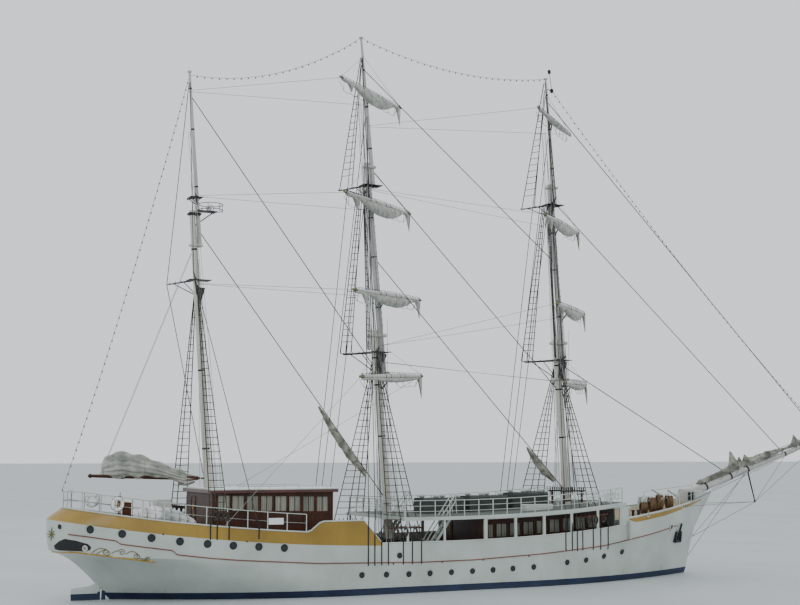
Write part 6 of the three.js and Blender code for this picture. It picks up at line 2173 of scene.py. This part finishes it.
def headsails():
    bundle_on("inner_jib_furled", on_bowsprit(21.9, 0.45), on_bowsprit(26.1, 0.42),
              [(0, 0.06, 0.05, 0), (0.1, 0.16, 0.16, 0), (0.5, 0.2, 0.2, 0.02), (0.85, 0.24, 0.26, 0.08),
               (1, 0.08, 0.08, 0.05)],
              5, peak=[(0.82, 0.12, 0.95), (0.96, 0.06, 0.6)], replaces=("furled_jibs",))
    bundle_on("outer_jib_furled", on_bowsprit(25.9, 0.42), on_bowsprit(30.1, 0.36),
              [(0, 0.1, 0.1, 0), (0.2, 0.24, 0.26, 0.04), (0.6, 0.23, 0.25, 0.06), (1, 0.07, 0.07, 0)],
              6, peak=[(0.12, 0.1, 0.5)], replaces=("furled_jibs",))
    bundle_on("flying_jib_furled", on_bowsprit(30.0, 0.34), on_bowsprit(33.5, 0.3),
              [(0, 0.08, 0.08, 0), (0.3, 0.17, 0.18, 0.03), (0.8, 0.15, 0.17, 0.03), (1, 0.05, 0.05, 0)],
              8, peak=[(0.3, 0.12, 0.55)], replaces=("furled_jibs",))
    low, high = aloft(FORE, 5.6, -0.25), aloft(MAIN, 20.5, 0.46)
    bundle_on("main_staysail_furled", low.lerp(high, 0.05), low.lerp(high, 0.2),
              [(0, 0.08, 0.1, 0), (0.3, 0.2, 0.26, -0.1), (0.7, 0.17, 0.22, -0.1), (1, 0.05, 0.06, 0)], 9)
    low, high = aloft(MAIN, 5.2, -0.25), aloft(MIZZEN, 21.4, 0.34)
    bundle_on("mizzen_staysail_furled", low.lerp(high, 0.1), low.lerp(high, 0.36),
              [(0, 0.08, 0.1, 0), (0.3, 0.19, 0.24, -0.1), (0.7, 0.16, 0.2, -0.1), (1, 0.05, 0.06, 0)], 12)


square_sails()
spanker_gear()
headsails()
# stern ornament, hawse pipes and the smaller openings of the skin
def skin_run(line, side, out=0.02):
    return [on_skin(x, z, side, out)[0] for x, z in line]


def spiral(x, z, radius, start, turns):
    """A curl winding in to (x, z) from radius, as (x, z) points."""
    points, steps = [], 22
    for k in range(steps + 1):
        share = k / steps
        a, r = start + turns * TURN * share, radius * (1 - 0.85 * share)
        points.append((x + r * math.cos(a), z + r * math.sin(a)))
    return points


def bowed(a, b, rise):
    """A leaf's stem from a to b, arched upwards."""
    steps = 8
    return [(a[0] + (b[0] - a[0]) * k / steps,
             a[1] + (b[1] - a[1]) * k / steps + rise * 4 * (k / steps) * (1 - k / steps))
            for k in range(steps + 1)]


def stern_scrolls():
    """Painted scrolls over the knuckle: three curls on a running stem with small leaves."""
    shapes = [
        bowed((-20.78, 2.74), (-19.86, 2.76), 0.27) + spiral(-20.05, 2.82, 0.2, -0.3, -1.35),
        bowed((-20.55, 2.72), (-20.05, 2.98), 0.02),
        spiral(-19.3, 2.8, 0.19, 2.9, -1.4), bowed((-19.8, 2.74), (-19.46, 2.9), 0.03),
        bowed((-19.1, 2.7), (-18.4, 2.6), 0.2) + spiral(-18.56, 2.6, 0.17, 0.0, -1.3),
        bowed((-18.38, 2.5), (-17.85, 2.42), -0.06), bowed((-18.12, 2.42), (-17.98, 2.56), 0.02),
        bowed((-18.05, 2.42), (-17.84, 2.53), 0.03),
    ]
    lines = [skin_run(shape, side) for side in (-1, 1) for shape in shapes]
    wires("stern_scrolls", lines, 0.02, aged_gilding_with_painted_shade, sides=6)
    # a flower of eight petals each side of the sternpost, above the panel
    petals = Parts()
    for side in (-1, 1):
        for k in range(8):
            a = math.pi / 4 * k
            reach = 0.3 if k % 2 else 0.4
            line = skin_run([(-22.62 + 0.16 * math.cos(a) * s, 3.72 + reach * math.sin(a) * s)
                             for s in (0.1, 0.55, 1)], side, 0.015)
            petals.turn([(0, 0.02), (0.6, 0.04), (1, 0.008)], line[0], line[2], 8)
    made("stern_flowers", petals, aged_gilding_with_painted_shade)


def skin_panel(outline, side, proud):
    """A flat-edged plate laid on the skin inside an outline of (x, z)."""
    centre = (sum(p[0] for p in outline) / len(outline), sum(p[1] for p in outline) / len(outline))
    count, steps = len(outline), 5
    points, faces = [], []
    for lift in (proud, -0.03):
        for step in range(1, steps + 1):
            for x, z in outline:
                share = step / steps
                q, n = on_skin(centre[0] + (x - centre[0]) * share, centre[1] + (z - centre[1]) * share,
                               side)
                points.append(q + n * lift)
        q, n = on_skin(*centre, side)
        points.append(q + n * lift)
    half = steps * count + 1
    for layer in (0, 1):
        base = layer * half
        for i in range(count):
            j = (i + 1) % count
            faces.append((base + half - 1, base + i, base + j))
            for step in range(steps - 1):
                a = base + step * count
                faces.append((a + i, a + count + i, a + count + j, a + j))
    edge = (steps - 1) * count
    for i in range(count):
        j = (i + 1) % count
        faces.append((edge + i, half + edge + i, half + edge + j, edge + j))
    return points, faces


QUARTER_PANEL = [(-22.5, 3.1), (-22.3, 3.36), (-22.05, 3.5), (-21.55, 3.42), (-20.98, 3.25), (-20.8, 3.08),
                 (-20.85, 2.92), (-21.1, 2.84), (-21.7, 2.86), (-22.25, 2.86), (-22.45, 2.92)]


def openings_in_skin():
    """The black quarter panels with their fairlead ring, the stern lights, hawse pipes and scuppers."""
    panels, rims, glass, pipes = Parts(), Parts(), Parts(), Parts()
    for side in (-1, 1):
        panels.add(skin_panel(QUARTER_PANEL, side, 0.012))
        at, out = on_skin(-21.09, 3.0, side, 0.02)
        rims.hoop(at, out, 0.13, 0.035, 22, 8)
        rims.hoop(at, out, 0.055, 0.018, 16, 6)
        at, out = on_skin(-22.29, 4.15, side, 0.012)
        rims.hoop(at, out, 0.17, 0.028, 20, 6)
        glass.turn([(0, 0.17), (0.7, 0.17), (1, 0.15)], at - out * 0.05, at, 20)
        for x, z, radius in ((17.9, 3.27, 0.2), (19.2, 4.62, 0.13), (15.3, 4.15, 0.11)):
            at, out = on_skin(x, z, side, 0.02)
            pipes.hoop(at, out, radius, 0.06 if radius > 0.15 else 0.04, 22, 8)
            panels.rod(radius, at - out * 0.06, at - out * 0.012, 20)
        for x in (-3.6, -0.4, 2.4, 5.6, 9.2, -12.6, -17.2):
            at, out = on_skin(x, deck_line(x) - 0.12 if x > -4 else poop_deck(x) - 0.15, side, 0.006)
            panels.rod(0.05, at - out * 0.04, at, 14)
    made("quarter_panels_and_scuppers", panels, black_iron)
    made("fairlead_and_light_rims", rims, lower_spar_enamel)
    made("stern_lights", glass, window_glass)
    made("hawse_pipe_lips", pipes, white_enamel)


def stem_head():
    """Plated knee that carries the stem forward under the bowsprit."""
    knee = []
    for z in np.linspace(3.2, 5.5, 12):
        share = (z - 3.2) / 2.3
        edge = on_stem(min(z, 4.9)).x
        front = edge + 0.02 + 0.5 * share ** 1.5 + 0.3 * max(0.0, z - 4.9)
        half = 0.04 + 0.1 * share
        knee.append([(edge - 0.4, -half - 0.06, z), (front - 0.08, -half, z), (front, -half * 0.3, z),
                     (front, half * 0.3, z), (front - 0.08, half, z), (edge - 0.4, half + 0.06, z)])
    made("stem_head_knee", swept(knee), white_enamel, edge=30)


stern_scrolls()
openings_in_skin()
stem_head()




# floor, light and camera
def floor():
    """A pale floor at the waterline, faintly mottled."""
    coat = Coat("pale_studio_floor", None, 0.6)
    pale = coat.done(coat.blotches(0.2, [(0.3, "#B5BABC"), (0.7, "#BFC4C5")])[1])
    mesh = bpy.data.meshes.new("floor")
    wide = 600.0
    mesh.from_pydata([(-wide, -wide, 0), (wide, -wide, 0), (wide, wide, 0), (-wide, wide, 0)], [],
                     [(0, 1, 2, 3)])
    mesh.materials.append(pale)
    object_of("floor", mesh)


def lights():
    """A pale sky and three large lamps: a key off the starboard quarter, a fill and a back light."""
    world = bpy.data.worlds.new("studio")
    bpy.context.scene.world = world
    world.use_nodes = True
    backdrop = world.node_tree.nodes["Background"]
    backdrop.inputs["Color"].default_value = linear("#E2E8EB")
    backdrop.inputs["Strength"].default_value = 1.35
    for label, place, size, power in (
        ("key", (-52, -34, 42), 26.0, 4200.0),
        ("fill", (38, -30, 22), 26.0, 500.0),
        ("back", (6, 42, 30), 26.0, 1500.0),
    ):
        lamp = bpy.data.lights.new(label, "AREA")
        lamp.size, lamp.energy = size, power
        obj = object_of(label, lamp)
        obj.location = place
        obj.rotation_euler = (Vector((0, 0, 6)) - Vector(place)).to_track_quat("-Z", "Y").to_euler()


def camera():
    """From off the starboard quarter, a little above the bulwarks, tilted up to the trucks."""
    view = bpy.data.cameras.new("view")
    view.lens, view.sensor_width, view.sensor_fit = 58.5, 36.0, "HORIZONTAL"
    view.clip_start, view.clip_end = 0.5, 2000.0
    obj = object_of("view", view)
    obj.location = Vector((-36.21, -74.60, 8.07)) * SCALE
    heading, pitch = math.radians(25.2), math.radians(6.69)
    towards = Vector((math.sin(heading) * math.cos(pitch), math.cos(heading) * math.cos(pitch),
                      math.sin(pitch)))
    obj.rotation_euler = towards.to_track_quat("-Z", "Y").to_euler()
    bpy.context.scene.camera = obj


floor()
lights()
camera()
